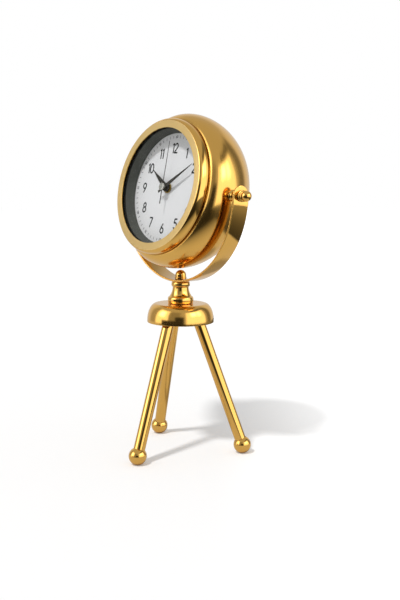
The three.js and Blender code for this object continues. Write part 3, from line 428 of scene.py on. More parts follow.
def ribbon(path, half_width, back, front):
    """A flat strip along a path in the XY plane: four rows of points, the path moved to either
    side by half its width, at the back and at the front. A path that ends where it starts
    becomes a ring."""
    path = np.asarray(path, float)
    ring = np.allclose(path[0], path[-1])
    if ring:
        path = path[:-1]
        step = np.roll(path, -1, axis=0) - np.roll(path, 1, axis=0)
    else:
        step = np.gradient(path, axis=0)
    across = np.column_stack([-step[:, 1], step[:, 0]])
    across *= half_width / np.linalg.norm(across, axis=1, keepdims=True)
    left, right = path + across, path - across
    level = np.ones((len(path), 1))
    rows = np.stack([np.hstack([left, level * back]), np.hstack([right, level * back]),
                     np.hstack([right, level * front]), np.hstack([left, level * front])], axis=1)
    sides = grid_faces(len(path), 4, wrap_rows=ring)[:, ::-1].tolist()
    last = 4 * (len(path) - 1)
    caps = [] if ring else [[0, 1, 2, 3], [last + 3, last + 2, last + 1, last]]
    return rows.reshape(-1, 3), sides + caps


def sheet_plate(outline, back, front, edge, steps=3):
    """A flat plate with eased edges: the outline is drawn in, at a right angle to itself, by
    edge (1 - sin t) while the height rises by edge (1 - cos t), and both faces close on a
    middle point."""
    p = np.asarray(outline, float)
    middle = p.mean(axis=0)
    step = np.roll(p, -1, axis=0) - np.roll(p, 1, axis=0)
    inward = np.column_stack([-step[:, 1], step[:, 0]])
    inward /= np.maximum(np.linalg.norm(inward, axis=1, keepdims=True), NOTHING)
    t = np.linspace(0, QUARTER_TURN, steps + 1)
    draw = edge * (1 - np.sin(t))
    rise = edge * (1 - np.cos(t))
    low = [(p + inward * d, back + r) for d, r in zip(draw, rise)]
    high = [(p + inward * d, front - r) for d, r in zip(draw[::-1], rise[::-1])]
    rings = low + high
    rows = [np.hstack([ring, np.full((len(p), 1), level)]) for ring, level in rings]
    count = len(p)
    corners = np.vstack([*rows, [[*middle, back]], [[*middle, front]]])
    sides = grid_faces(len(rows), count)
    j = np.arange(count)
    k = (j + 1) % count
    bottom = np.column_stack([k, j, np.full(count, len(rows) * count)])
    first = (len(rows) - 1) * count
    top = np.column_stack([first + j, first + k, np.full(count, len(rows) * count + 1)])
    return corners, sides.tolist() + bottom.tolist() + top.tolist()


def together(*surfaces):
    """Several surfaces as one."""
    corners, faces, start = [], [], 0
    for points, polygons in surfaces:
        corners.append(points)
        faces += [[start + corner for corner in polygon] for polygon in polygons]
        start += len(points)
    return np.vstack(corners), faces


def moved(surface, matrix):
    """A surface carried into another frame."""
    points, faces = surface
    return points @ matrix[:3, :3].T + matrix[:3, 3], faces


def piece(name, surface, matrix, body, slot, nodes=(), finish=None):
    """Makes the object for a surface, at the origin and unturned, and ties it to its body. Its
    finish is the slot's own, unless another one is named."""
    points, faces = moved(surface, matrix)
    mesh = bpy.data.meshes.new(name)
    mesh.from_pydata(points.tolist(), [], faces)
    mesh.update()
    mesh.polygons.foreach_set("use_smooth", np.ones(len(mesh.polygons), bool))
    mesh.set_sharp_from_angle(angle=CREASE)
    mesh.materials.append(finish_named(finish or slot))
    made = bpy.data.objects.new(name, mesh)
    bpy.context.scene.collection.objects.link(made)
    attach(made, body)
    if nodes:
        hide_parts(*nodes)
    return made


# Materials


class Value:
    """A shader socket that adds a Math node for each operator that is used on it."""

    def __init__(self, tree, socket):
        self.tree, self.socket = tree, socket

    def math(self, operation, other=0.0, swapped=False):
        """The socket of a new Math node. An operation on one value leaves the other unused."""
        node = self.tree.nodes.new("ShaderNodeMath")
        node.operation = operation
        for index, value in enumerate((other, self) if swapped else (self, other)):
            put(self.tree, node.inputs[index], value)
        return Value(self.tree, node.outputs[0])

    def __add__(self, other):
        return self.math("ADD", other)

    __radd__ = __add__

    def __sub__(self, other):
        return self.math("SUBTRACT", other)

    def __rsub__(self, other):
        return self.math("SUBTRACT", other, swapped=True)

    def __mul__(self, other):
        return self.math("MULTIPLY", other)

    __rmul__ = __mul__

    def __pow__(self, other):
        return self.math("POWER", other)

    def __abs__(self):
        return self.math("ABSOLUTE")


def distance(x, y):
    """How far two sides at a right angle reach: the square root of x^2 + y^2."""
    return (x * x + y * y) ** 0.5


def put(tree, socket, value):
    """Links a socket value to an input, or writes a plain value in it."""
    if isinstance(value, Value):
        tree.links.new(value.socket, socket)
    elif hasattr(value, "__len__"):
        socket.default_value = (*value, 1.0) if socket.type == "RGBA" else tuple(value)
    else:
        socket.default_value = value


class Tree:
    """A node tree with short ways to add its nodes."""

    def __init__(self, owner):
        owner.use_nodes = True
        self.tree = owner.node_tree
        self.tree.nodes.clear()

    def node(self, kind, settings=(), inputs=(), output=0):
        """Adds a node of a type, sets its settings first and then its sockets."""
        node = self.tree.nodes.new(kind)
        for key, value in dict(settings).items():
            setattr(node, key, value)
        for key, value in dict(inputs).items():
            put(self.tree, node.inputs[key], value)
        return Value(self.tree, node.outputs[output])

    def place(self, output="Object"):
        """Where the point lies: the object's own coordinates, or the direction in a world."""
        return self.node("ShaderNodeTexCoord", output=output)

    def noise(self, scale, detail, roughness=0.5, place=None):
        """Even noise from 0 to 1. The scale is in cells per metre."""
        return self.node("ShaderNodeTexNoise", inputs={
            "Vector": place or self.place(), "Scale": scale, "Detail": detail,
            "Roughness": roughness})

    def blend(self, factor, first, second):
        """One colour turning into another as the factor goes from 0 to 1."""
        return self.node("ShaderNodeMix", {"data_type": "RGBA"}, {
            MIX_FACTOR: factor, MIX_FIRST: first, MIX_SECOND: second}, MIX_RESULT)

    def about(self, matrix, output="Object"):
        """Coordinates measured in a frame: three socket values x, y and z."""
        inverse = Matrix(matrix.tolist()).inverted()
        mapping = self.node("ShaderNodeMapping", {"vector_type": "POINT"}, {
            "Vector": self.place(output), "Location": tuple(inverse.to_translation()),
            "Rotation": tuple(inverse.to_euler())})
        split = self.tree.nodes.new("ShaderNodeSeparateXYZ")
        put(self.tree, split.inputs[0], mapping)
        return [Value(self.tree, socket) for socket in split.outputs]

    def step(self, value, start, stop):
        """Goes smoothly from 0 to 1 while the value goes from start to stop."""
        return self.node("ShaderNodeMapRange", {"interpolation_type": "SMOOTHSTEP"}, {
            "Value": value, "From Min": start, "From Max": stop})


class Finish(Tree):
    """One material: its node tree, its surface shader and the usual helpers."""

    def __init__(self, name, **uniform):
        self.material = bpy.data.materials.new(name)
        super().__init__(self.material)
        self.surface = self.tree.nodes.new("ShaderNodeBsdfPrincipled")
        self.output = self.tree.nodes.new("ShaderNodeOutputMaterial")
        self.tree.links.new(self.surface.outputs[0], self.output.inputs["Surface"])
        self.set(**uniform)

    def set(self, **values):
        """Writes or links the shader's sockets, named in lower case with underscores."""
        for key, value in values.items():
            put(self.tree, self.surface.inputs[key.replace("_", " ").title().replace("Ior", "IOR")],
                value)

    def mottled(self, pattern, base, spread):
        """A colour that a pattern makes a little darker and lighter."""
        return self.blend(pattern, tinted(base, 1 - spread), tinted(base, 1 + spread))

    def bump(self, height, strength, distance):
        """A bump that feeds the surface's normal."""
        self.set(normal=self.node("ShaderNodeBump", inputs={
            "Height": height, "Strength": strength, "Distance": distance}))


def tinted(base, factor):
    """A colour made lighter or darker."""
    return tuple(min(1.0, float(channel) * factor) for channel in base)


def polished_metal(name, base, roughness, lacquer=0.1, painted_shade_rule=None, brushed=None):
    """Polished and lacquered metal: a mirror with faint clouding, very fine scratches and a clear skin. Two rules
    can tell where the metal is painted darker, as shade, and where it is brushed rougher and painted lighter, as a
    highlight."""
    wear, haze, scratch, brush = 0.04, 0.03, 0.035, 0.4
    # Painted shade and painted highlight colours: darker for the strap's inner side, lighter for its edges.
    painted_shade_colour, painted_edge_highlight = tinted(base, 0.62), tinted(base, 1.12)
    finish = Finish(name, metallic=1.0, coat_weight=lacquer, coat_roughness=0.06)
    cloud = finish.noise(scale=38.0, detail=4.0)
    fine = finish.noise(scale=2600.0, detail=2.0, roughness=0.6)
    waves = finish.noise(scale=160.0, detail=3.0)
    metal = finish.mottled(cloud, base, wear)
    # Painted shade: the strap's inner side, which faces the drum, is painted darker.
    if painted_shade_rule:
        metal = finish.blend(painted_shade_rule(finish), metal, painted_shade_colour)
    # Painted highlight: the strap's edges are brushed rougher and are also painted lighter.
    brushed_and_highlit = brushed(finish) if brushed else 0.0
    finish.set(base_color=finish.blend(brushed_and_highlit, metal, painted_edge_highlight))
    finish.set(roughness=roughness + haze * (cloud - 0.5) + scratch * (fine - 0.5) + brush * brushed_and_highlit)
    finish.bump(waves, strength=0.05, distance=0.4 * MM)
    return finish.material


def strap_middle():
    """The yoke's frame: its origin is the middle of the half ring, Z up."""
    drop = bpy.context.scene.clock_yoke.pivot_drop
    return shift(stand_frame(), z=JOINTS["head_tilt"]["pos_m"][2] + drop)


def inner_side(finish):
    """One on the strap's inner side, zero elsewhere: where the strap is painted darker, as shade."""
    s = bpy.context.scene.clock_yoke
    x, _, z = finish.about(strap_middle())
    inside = s.radius - s.thickness
    out = distance(x, z.math("MINIMUM", 0.0))
    return 1 - finish.step(out, inside + 0.1 * MM, inside + 0.5 * MM)


def strap_edges(finish):
    """One on the strap's two long edges, zero elsewhere: where the strap is brushed rougher and painted lighter,
    as a highlight.
    """
    edge = bpy.context.scene.clock_yoke.width / 2
    _, y, _ = finish.about(stand_frame())
    return finish.step(abs(y), edge - 0.75 * MM, edge - 0.6 * MM)


def spun_metal(name, base, matrix, roughness, lacquer=0.05, groove=None):
    """Sheet metal spun on a lathe and polished: soft reflections, drawn out a little across the faint rings that
    the tool leaves about the Z axis of a frame. With a groove's radius and place given, the metal in it is painted
    darker, as shade in the groove."""
    wear, haze, drawn, scratch = 0.035, 0.04, 0.07, 0.03
    stretch, ring_share, painted_shade = 9.0, 0.75, tinted(base, 0.5)
    finish = Finish(name, metallic=1.0, coat_weight=lacquer, coat_roughness=0.08)
    x, y, z = finish.about(matrix)
    radius = distance(x, y)
    across = finish.node("ShaderNodeCombineXYZ", inputs={0: radius * stretch, 1: z * stretch})
    rings = finish.noise(scale=170.0, detail=3.0, roughness=0.65, place=across)
    cloud = finish.noise(scale=26.0, detail=4.0)
    fine = finish.noise(scale=2400.0, detail=2.0, roughness=0.6)
    metal = finish.mottled(cloud, base, wear)
    # Painted shade: the metal in the groove is painted darker.
    if groove:
        narrow, place = groove
        groove_shade = ((1 - finish.step(radius, narrow + 0.3 * MM, narrow + 1.5 * MM))
                * finish.step(z, place - 8 * MM, place - 6 * MM))
        metal = finish.blend(groove_shade, metal, painted_shade)
    finish.set(base_color=metal)
    finish.set(roughness=roughness + haze * (cloud - 0.5) + drawn * (rings - 0.5)
               + scratch * (fine - 0.5))
    finish.bump(ring_share * rings + (1 - ring_share) * fine, strength=0.12, distance=0.03 * MM)
    return finish.material


def turned_metal(name, base, polish, matrix, roughness, face=None):
    """Satin metal turned on a lathe: fine rings about the Z axis of a frame. With a face given,
    only what lies that far forward is satin, and the edges and the side below it are polished."""
    wear, haze, drawn, ring_width = 0.05, 0.08, 0.06, 0.3 * MM
    mirror, mirror_haze = 0.07, 0.03
    finish = Finish(name, metallic=1.0)
    x, y, z = finish.about(matrix)
    rings = (distance(x, y) * (FULL_TURN / ring_width)).math("SINE")
    cloud = finish.noise(scale=60.0, detail=4.0)
    streak = finish.noise(scale=900.0, detail=3.0)
    satin = finish.step(z, face - 0.14 * MM, face - 0.05 * MM) if face else 1.0
    even = finish.mottled(cloud, base, wear)
    finish.set(base_color=finish.blend(satin, polish, even))
    brushed = roughness + haze * (cloud - 0.5) + drawn * (streak - 0.5)
    bright = mirror + mirror_haze * (cloud - 0.5)
    finish.set(roughness=bright + (brushed - bright) * satin)
    finish.bump((rings * 0.5 + streak) * satin, strength=0.25, distance=0.06 * MM)
    return finish.material


def plain_metal(name, base, roughness):
    """Machined metal with a fine grain."""
    dark, bright, uneven = tinted(base, 0.85), tinted(base, 1.1), 0.15
    finish = Finish(name, metallic=1.0)
    grain = finish.noise(scale=1500.0, detail=3.0, roughness=0.7)
    finish.set(base_color=finish.blend(grain, dark, bright))
    finish.set(roughness=roughness + uneven * (grain - 0.5))
    finish.bump(grain, strength=0.12, distance=0.1 * MM)
    return finish.material


def moulded(name, base, roughness, grain=1800.0, strength=0.15, speckle=0.06, gloss=0.5,
            rim=None):
    """Moulded plastic, paint or print: even colour with faint mottling and a fine texture. With a rim given, what
    lies that far forward on the head is painted nearly black, as shade under the bezel."""
    uneven, painted_shade = 0.1, tinted(base, 0.12)
    finish = Finish(name, specular_ior_level=gloss)
    cloud = finish.noise(scale=45.0, detail=4.0)
    texture = finish.noise(scale=grain, detail=2.0, roughness=0.6)
    even = finish.mottled(cloud, base, speckle)
    # Painted shade: the ring's front, under the bezel, is painted nearly black.
    if rim:
        _, _, forward = finish.about(head_frame())
        even = finish.blend(finish.step(forward, rim - 0.3 * MM, rim), even, painted_shade)
    finish.set(base_color=even)
    finish.set(roughness=roughness + uneven * (texture - 0.5))
    finish.bump(texture, strength, distance=0.08 * MM)
    return finish.material


def clear_glass(name):
    """Thin flat glass that hardly reflects and is a little uneven in how much it hides."""
    least, more = 0.025, 0.01
    finish = Finish(name, roughness=0.02, base_color=(0.05, 0.06, 0.06))
    finish.set(alpha=least + more * finish.noise(scale=30.0, detail=3.0))
    return finish.material


FINISHES = {}


def finish_named(name):
    """The material with a plain name, made on first use."""
    if name not in FINISHES:
        FINISHES[name] = make_finish(name)
    return FINISHES[name]


def make_finish(name):
    """Builds one of the clock's materials."""
    c, drum = bpy.context.scene.clock_colours, bpy.context.scene.clock_drum
    head, stand = head_frame(), stand_frame()
    # The dark ring's painted shade starts this far forward, under the bezel.
    ring_shade_from = drum.lens_front - drum.lens_thickness - 1.3 * MM
    ink = {"roughness": 0.6, "grain": 2500.0, "strength": 0.05, "gloss": 0.2}
    makers = {
        "polished_gold": lambda: polished_metal("polished gold", c.gold, roughness=0.055),
        "strap_gold": lambda: polished_metal("polished gold, strap", c.gold, roughness=0.055,
                                             painted_shade_rule=inner_side, brushed=strap_edges),
        "spun_drum": lambda: spun_metal("spun gold, drum", c.gold, head, roughness=0.16,
                                        groove=(drum.groove, drum.groove_place)),
        "spun_dome": lambda: spun_metal("spun gold, dome", c.gold, stand, roughness=0.14),
        "satin_gold": lambda: turned_metal("satin gold", c.satin, c.gold, head, roughness=0.34),
        "bezel_gold": lambda: turned_metal("satin gold, bezel", c.satin, c.gold, head,
                                           roughness=0.34, face=drum.bezel_face),
        "steel": lambda: plain_metal("steel", c.steel, roughness=0.35),
        "glass": lambda: clear_glass("lens glass"),
        "dark_ring": lambda: moulded("dark ring", c.ring, roughness=0.7, grain=1400.0,
                                     strength=0.2, gloss=0.2, rim=ring_shade_from),
        "dial_white": lambda: moulded("dial enamel", c.dial, roughness=0.6, grain=2500.0,
                                      strength=0.06, speckle=0.012),
        "numerals": lambda: moulded("numeral ink", c.ink, **ink),
        "track": lambda: moulded("track ink", c.track, **ink),
        "hand_charcoal": lambda: moulded("hand paint", c.hand, roughness=0.42, grain=2000.0,
                                         strength=0.05, gloss=0.25),
        "cap": lambda: polished_metal("cap metal", c.cap, roughness=0.2),
        "brass": lambda: plain_metal("brass", c.brass, roughness=0.3),
        "black_plastic": lambda: moulded("black plastic", c.black, roughness=0.5),
        "pale_nylon": lambda: moulded("nylon", c.nylon, roughness=0.5),
        "battery_jacket": lambda: moulded("battery jacket", c.battery, roughness=0.3,
                                          grain=900.0, strength=0.05),
        "silver": lambda: plain_metal("nickel", c.cap, roughness=0.25),
        "copper": lambda: plain_metal("copper wire", c.copper, roughness=0.35),
        "board_green": lambda: moulded("board lacquer", c.board, roughness=0.35),
    }
    return makers[name]()


# Operators, one for each piece or group of like pieces


class ClockOperator:
    """What the operators share."""

    bl_options = {"REGISTER", "UNDO"}

    @classmethod
    def poll(cls, context):
        return context.scene is not None


class CLOCK_OT_legs(ClockOperator, bpy.types.Operator):
    """Makes the three legs and their ball feet"""

    bl_idname = "clock.legs"
    bl_label = "Legs and feet"

    def execute(self, context):
        s = context.scene.clock_tripod
        clearance, end_edge = 0.3 * MM, 0.5 * MM
        seat = s.foot_radius - s.foot_socket
        hole = s.leg_radius + clearance
        mouth = math.degrees(math.acos(hole / s.foot_radius))
        ball = turned(np.vstack([
            [[0, seat]], [[hole, seat]],
            arc(0, 0, s.foot_radius, s.foot_radius, start=mouth, stop=-90, count=72)]))
        leg = turned(eased([[0, s.leg_start], [s.leg_radius, s.leg_start],
                            [s.leg_radius, s.leg_end], [0, s.leg_end]], end_edge), SMALL_SIDES)
        for i, side in enumerate(LEGS):
            place = turn(stand_frame(), AXIS_Z, s.first_leg + i * FULL_TURN / len(LEGS))
            place = turn(shift(place, x=s.foot_circle, z=s.foot_height), AXIS_Y, -s.leg_lean)
            points, faces = moved(ball, place)
            points[:, 2] = np.maximum(points[:, 2], 0)
            piece(f"ball_foot_{side}", (points, faces), np.eye(4), "stand", "polished_gold",
                  [f"foot_{side}"])
            piece(f"rod_{side}", leg, place, "stand", "polished_gold", [f"leg_{side}"])
        return {"FINISHED"}


class CLOCK_OT_dome(ClockOperator, bpy.types.Operator):
    """Makes the spun dome over the legs"""

    bl_idname = "clock.dome"
    bl_label = "Hub dome"

    def execute(self, context):
        s = context.scene.clock_tripod
        rim, top = s.dome_rim, s.dome_rim + s.dome_height
        bore, flat_end, skirt, rim_edge = 3 * MM, s.dome_top - 3 * MM, 1.2 * MM, 0.3 * MM
        shoulder, crown = s.dome_radius - s.dome_top, s.dome_height - skirt
        rim_middle, skirt_top, wall = s.dome_radius - rim_edge, rim + skirt, s.dome_wall
        outline = np.vstack([
            [[bore, top], [flat_end, top]],
            arc(s.dome_top, skirt_top, shoulder, crown, start=90, stop=0, count=44),
            arc(rim_middle, rim + rim_edge, rim_edge, rim_edge, start=0, stop=-90, count=5),
            [[s.dome_radius - wall, rim]],
            arc(s.dome_top, skirt_top, shoulder - wall, crown - wall, start=0, stop=90, count=24),
            [[bore, top - wall]]])
        piece("spun_dome", turned(outline), stand_frame(), "stand", "polished_gold",
              ["hub_dome"], finish="spun_dome")
        return {"FINISHED"}


class CLOCK_OT_pedestal(ClockOperator, bpy.types.Operator):
    """Makes the turned pedestal"""

    bl_idname = "clock.pedestal"
    bl_label = "Pedestal"

    def execute(self, context):
        s = context.scene.clock_tripod
        bore, height = 2.7, s.pedestal_height / MM
        foot = smooth([[11.1, 0], [11.5, 0.5], [11.7, 2.6], [11.6, 4.4], [11.2, 5.4]], count=6)
        waist = smooth([[11.0, 5.6], [10.4, 5.9], [9.4, 7.2], [8.3, 9.4], [7.6, 11.8],
                        [7.25, 14.2], [7.3, 15.0]], count=8)
        bead_radius, bead_bulge, half_bead = 7.5, 0.95, 2.2
        bead = arc(bead_radius, height - half_bead, bead_bulge, half_bead, start=-68, stop=90,
                   count=18)
        outline = np.vstack([[[bore, 0]], foot, waist, bead, [[bore, height]]]) * MM
        piece("turned_pedestal", turned(outline), shift(stand_frame(), z=s.pedestal_foot),
              "stand", "polished_gold", ["pedestal"])
        return {"FINISHED"}


class CLOCK_OT_acorn(ClockOperator, bpy.types.Operator):
    """Makes the acorn nut that holds the yoke"""

    bl_idname = "clock.acorn"
    bl_label = "Acorn nut"

    def execute(self, context):
        s = context.scene.clock_tripod
        bore, flange, body = 2.7, 5.3, 4.9
        flange_top, body_start, bore_depth, nose = 1.8, 2.1, 6, 4.7
        nose_start = s.acorn_height / MM - nose
        outline = np.vstack([
            eased([[bore, 0], [flange, 0], [flange, flange_top], [body, body_start],
                   [body, nose_start]], size=0.3),
            arc(0, nose_start, body, nose, start=2, stop=90, count=28),
            [[0, bore_depth], [bore, bore_depth]]]) * MM
        piece("domed_nut", turned(outline, ACORN_SIDES), shift(stand_frame(), z=s.acorn_foot),
              "stand", "polished_gold", ["acorn_nut"])
        return {"FINISHED"}


class CLOCK_OT_yoke(ClockOperator, bpy.types.Operator):
    """Bends the strap of the yoke"""

    bl_idname = "clock.yoke"
    bl_label = "Yoke"

    def execute(self, context):
        piece("bent_strap", self.strap(context.scene.clock_yoke), strap_middle(), "yoke",
              "polished_gold", ["yoke"], finish="strap_gold")
        return {"FINISHED"}

    def strap(self, s):
        """A rounded rectangle carried along the half ring and its two straight arms. Near an end
        its half width is the square root of R^2 - d^2, so the ends are round."""
        first_angle, tip_steps, long_steps = 0.02, 24, 220
        half, mid = s.width / 2, s.radius - s.thickness / 2
        arm = half - s.pivot_drop
        total = 2 * arm + math.pi * mid
        tip = half * (1 - np.cos(np.linspace(first_angle, QUARTER_TURN, tip_steps)))
        between = np.linspace(half, total - half, long_steps)[1:-1]
        run = np.concatenate([tip, between, (total - tip)[::-1]])
        from_end = np.minimum(run, total - run)
        width = np.sqrt(half**2 - np.maximum(half - from_end, 0) ** 2)
        bend = np.clip((run - arm) / mid, 0, math.pi)
        rise = np.maximum(arm - run, 0) + np.maximum(run - (total - arm), 0)
        path_x, path_z = mid * np.cos(bend), -mid * np.sin(bend) + rise
        out_x, out_z = np.cos(bend), -np.sin(bend)
        across, out = self.section(s, width)
        x = path_x[:, None] + out_x[:, None] * out
        z = path_z[:, None] + out_z[:, None] * out
        corners = np.stack([x, across, z], axis=-1)
        rows, columns = across.shape
        faces = grid_faces(rows, columns).tolist()
        last = (rows - 1) * columns
        caps = [list(range(columns))[::-1], list(range(last, last + columns))]
        return corners.reshape(-1, 3), faces + caps

    def section(self, s, half_width):
        """The rounded rectangle for each place along the strap, as across and out offsets."""
        t = np.radians(np.linspace(0, 90, 5))
        edge = s.edge
        corner_across, corner_out = edge * np.cos(t) - edge, edge * np.sin(t) - edge
        signs = [(1, 1, False), (-1, 1, True), (-1, -1, False), (1, -1, True)]
        across, out = [], []
        for sign_a, sign_o, back in signs:
            a, o = (corner_across[::-1], corner_out[::-1]) if back else (corner_across, corner_out)
            across.append(sign_a * np.maximum(half_width[:, None] + a, 0))
            out.append(np.broadcast_to(sign_o * (s.thickness / 2 + o), across[-1].shape))
        return np.hstack(across), np.hstack(out)


class CLOCK_OT_pivots(ClockOperator, bpy.types.Operator):
    """Turns the pivot knobs and the spacers"""

    bl_idname = "clock.pivots"
    bl_label = "Pivots"

    def execute(self, context):
        s = context.scene.clock_yoke
        stem, stem_length = 2.5, 18.5
        ball, ball_middle = 4.5, 5.6
        collars = eased([[stem, 0], [5.0, 0], [5.0, 1.1], [4.1, 1.5], [4.1, 2.1], [4.7, 2.5],
                         [4.7, 3.2], [3.6, 3.8]], size=0.3)
        knob = np.vstack([[[0, -stem_length], [stem, -stem_length]], collars,
                          arc(0, ball_middle, ball, ball, start=-22, stop=90, count=30)]) * MM
        bore, waist, long = 2.7, 4.1, (s.spacer_end - s.spacer_start) / MM
        spacer = MM * eased([
            [bore, 0], [5.0, 0], [5.2, 1.0], [4.4, 1.9], [waist, 2.6], [waist, long - 3.4],
            [4.6, long - 2.8], [5.4, long - 1.9], [5.4, long - 0.9], [4.9, long], [bore, long]],
            size=0.55, closed=True)
        for side, sign in (("right", 1), ("left", -1)):
            out = pivot_frame(sign)
            piece(f"turned_knob_{side}", turned(knob, SMALL_SIDES), shift(out, z=s.knob_start),
                  f"knob_{side}", "polished_gold", [f"pivot_knob_{side}"])
            piece(f"turned_spacer_{side}", turned(spacer, SMALL_SIDES),
                  shift(out, z=s.spacer_start), "head", "polished_gold",
                  [f"pivot_spacer_{side}"])
        return {"FINISHED"}


class CLOCK_OT_drum(ClockOperator, bpy.types.Operator):
    """Spins the drum shell with its bead, groove and rear opening"""

    bl_idname = "clock.drum"
    bl_label = "Drum"

    def execute(self, context):
        s = context.scene.clock_drum
        drum = together(turned(self.outline(s), WIDEST_SIDES), *self.lugs(s))
        piece("spun_drum", drum, head_frame(), "head", "polished_gold", ["case_shell"],
              finish="spun_drum")
        return {"FINISHED"}

    def outline(self, s):
        """The sheet's outline from the neck over the widest place to the opening and back
        along the inner wall. The shoulder and the rear are quarter ellipses."""
        set_back, lip_edge, lip_depth = 1.8 * MM, 0.6 * MM, 4.6 * MM
        flat_share, round_share, bulge_share = 0.4, 0.6, 0.5
        front = s.bezel_face - set_back
        bead_front, bulge = s.groove_place + s.bead_width, bulge_share * s.bead_width
        seat, inner_neck = s.rear_opening - s.wall / 2, s.neck - s.wall
        outer, rear_edge = self.curves(s, 0, 48)
        inner, _ = self.curves(s, s.wall, 24)
        bead = arc(s.bead - bulge, bead_front - flat_share * s.bead_width, bulge,
                   round_share * s.bead_width, start=0, stop=-62, count=16)
        lip = [[seat + 0.2 * MM, rear_edge + 0.25 * MM], [seat, rear_edge + lip_edge],
               [seat, rear_edge + lip_depth], [seat + s.wall, rear_edge + lip_depth]]
        return np.vstack([
            [[s.neck, front], [s.neck, bead_front], [s.bead, bead_front]], bead, outer, lip,
            inner[::-1], [[inner_neck, s.groove_place - s.wall], [inner_neck, front]]])

    def curves(self, s, inset, count):
        """The shoulder and the rear, drawn in by an inset, and where the rear ends."""
        reach = s.groove_place - s.centre - inset
        shoulder = arc(s.groove, s.centre, s.radius - s.groove - inset, reach, start=90, stop=0,
                       count=count)
        stop = math.degrees(math.acos((s.rear_opening + inset) / (s.radius - inset)))
        rear = arc(0, s.centre, s.radius - inset, s.rear - inset, start=0, stop=-stop, count=count)
        return np.vstack([shoulder, rear[1:]]), rear[-1, 1]

    def lugs(self, s):
        """Three small tabs inside the opening, which hold the cover's screws."""
        count, set_in = 3, 5.1 * MM
        half_width, reach, thickness = 4.0 * MM, 6.2 * MM, 1.8 * MM
        _, rear_edge = self.curves(s, 0, 4)
        tab = eased([[-half_width, 0], [half_width, 0], [half_width, -reach],
                     [-half_width, -reach]], size=1.2 * MM, closed=True)[::-1]
        front = rear_edge + set_in
        plate = sheet_plate(tab, front - thickness, front, edge=0.3 * MM)
        turns = [turn(np.eye(4), AXIS_Z, i * FULL_TURN / count) for i in range(count)]
        return [moved(plate, shift(place, y=s.rear_opening)) for place in turns]


class CLOCK_OT_bezel(ClockOperator, bpy.types.Operator):
    """Turns the satin bezel with its bright edges"""

    bl_idname = "clock.bezel"
    bl_label = "Bezel"

    def execute(self, context):
        s = context.scene.clock_drum
        clearance, bevel = 0.3 * MM, 0.9 * MM
        lip_height, face_thickness = 0.7 * MM, 1.5 * MM
        roundings = np.array([0, 0.2, 0.1, 0.2, 0.15, 0.45, 0]) * MM
        back, flat = s.bezel_face - s.bezel_skirt, s.bezel_radius - s.bezel_round
        inside = s.neck + clearance
        lip, ledge = s.bezel_face - lip_height, s.bezel_face - face_thickness
        side = arc(flat, back, s.bezel_round, s.bezel_skirt, start=90, stop=0, count=40)
        rest = eased([[s.bezel_radius, back], [inside, back], [inside, ledge],
                      [s.bezel_inner + bevel, ledge], [s.bezel_inner, lip],
                      [s.bezel_inner, s.bezel_face], side[0]], roundings, steps=6)
        outline = np.vstack([side, rest[1:-1]])
        piece("turned_bezel", turned(outline, WIDEST_SIDES), head_frame(), "head", "satin_gold",
              ["bezel"], finish="bezel_gold")
        return {"FINISHED"}


class CLOCK_OT_dial(ClockOperator, bpy.types.Operator):
    """Makes the lens, the dark ring, the dial and its nut"""

    bl_idname = "clock.dial"
    bl_label = "Lens, ring and dial"

    def execute(self, context):
        s = context.scene.clock_drum
        head = head_frame()
        gap, wall, flange = 0.3 * MM, 1.0 * MM, 0.9 * MM
        edge, dial_edge = 0.3 * MM, 0.1 * MM
        back = s.lens_front - s.lens_thickness
        lens = turned(eased([[0, back], [s.lens_radius, back], [s.lens_radius, s.lens_front],
                             [0, s.lens_front]], edge))
        piece("flat_lens", lens, head, "head", "glass", ["lens"])
        root, front = s.dial_front + gap, back - gap
        ring = eased([
            [s.ring_mouth, front], [s.lens_radius, front], [s.lens_radius, front - flange],
            [s.ring_mouth + wall, front - flange], [s.ring_root + wall, root + wall],
            [s.dial_radius, root + wall], [s.dial_radius, root], [s.ring_root, root]],
            edge, closed=True)
        piece("dark_ring", turned(ring, WIDEST_SIDES), head, "head", "dark_ring",
              ["dial_surround"])
        hole, dial_back = 3.2 * MM, s.dial_front - s.dial_thickness
        dial = self.washer(hole, s.dial_radius, dial_back, s.dial_front, dial_edge)
        piece("enamel_dial", turned(dial, WIDEST_SIDES), head, "head", "dial_white", ["dial"])
        bore, nut_radius, nut_height = 3.1 * MM, 4.5 * MM, 1.5 * MM
        nut = self.washer(bore, nut_radius, 0, nut_height, edge=0.25 * MM)
        piece("bushing_nut", turned(nut, NUT_SIDES), shift(head, z=root), "head", "brass",
              ["dial_nut"])
        return {"FINISHED"}

    def washer(self, inner, outer, low, high, edge):
        """The outline of a flat ring with eased edges."""
        return eased([[inner, low], [outer, low], [outer, high], [inner, high]], edge,
                     closed=True)


# Digits are drawn with strokes in a cell one unit high: for each, the cell's width and the paths


def line(*points):
    """Straight spans through the points, each split in four."""
    p = np.asarray(points, float)
    t = np.linspace(0, len(p) - 1, 4 * (len(p) - 1) + 1)
    return np.column_stack([np.interp(t, np.arange(len(p)), p[:, k]) for k in (0, 1)])


def bow(x, y, semi_x, semi_y, start, stop, count=28):
    """An arc with as many points as a round stroke needs."""
    return arc(x, y, semi_x, semi_y, start, stop, count)


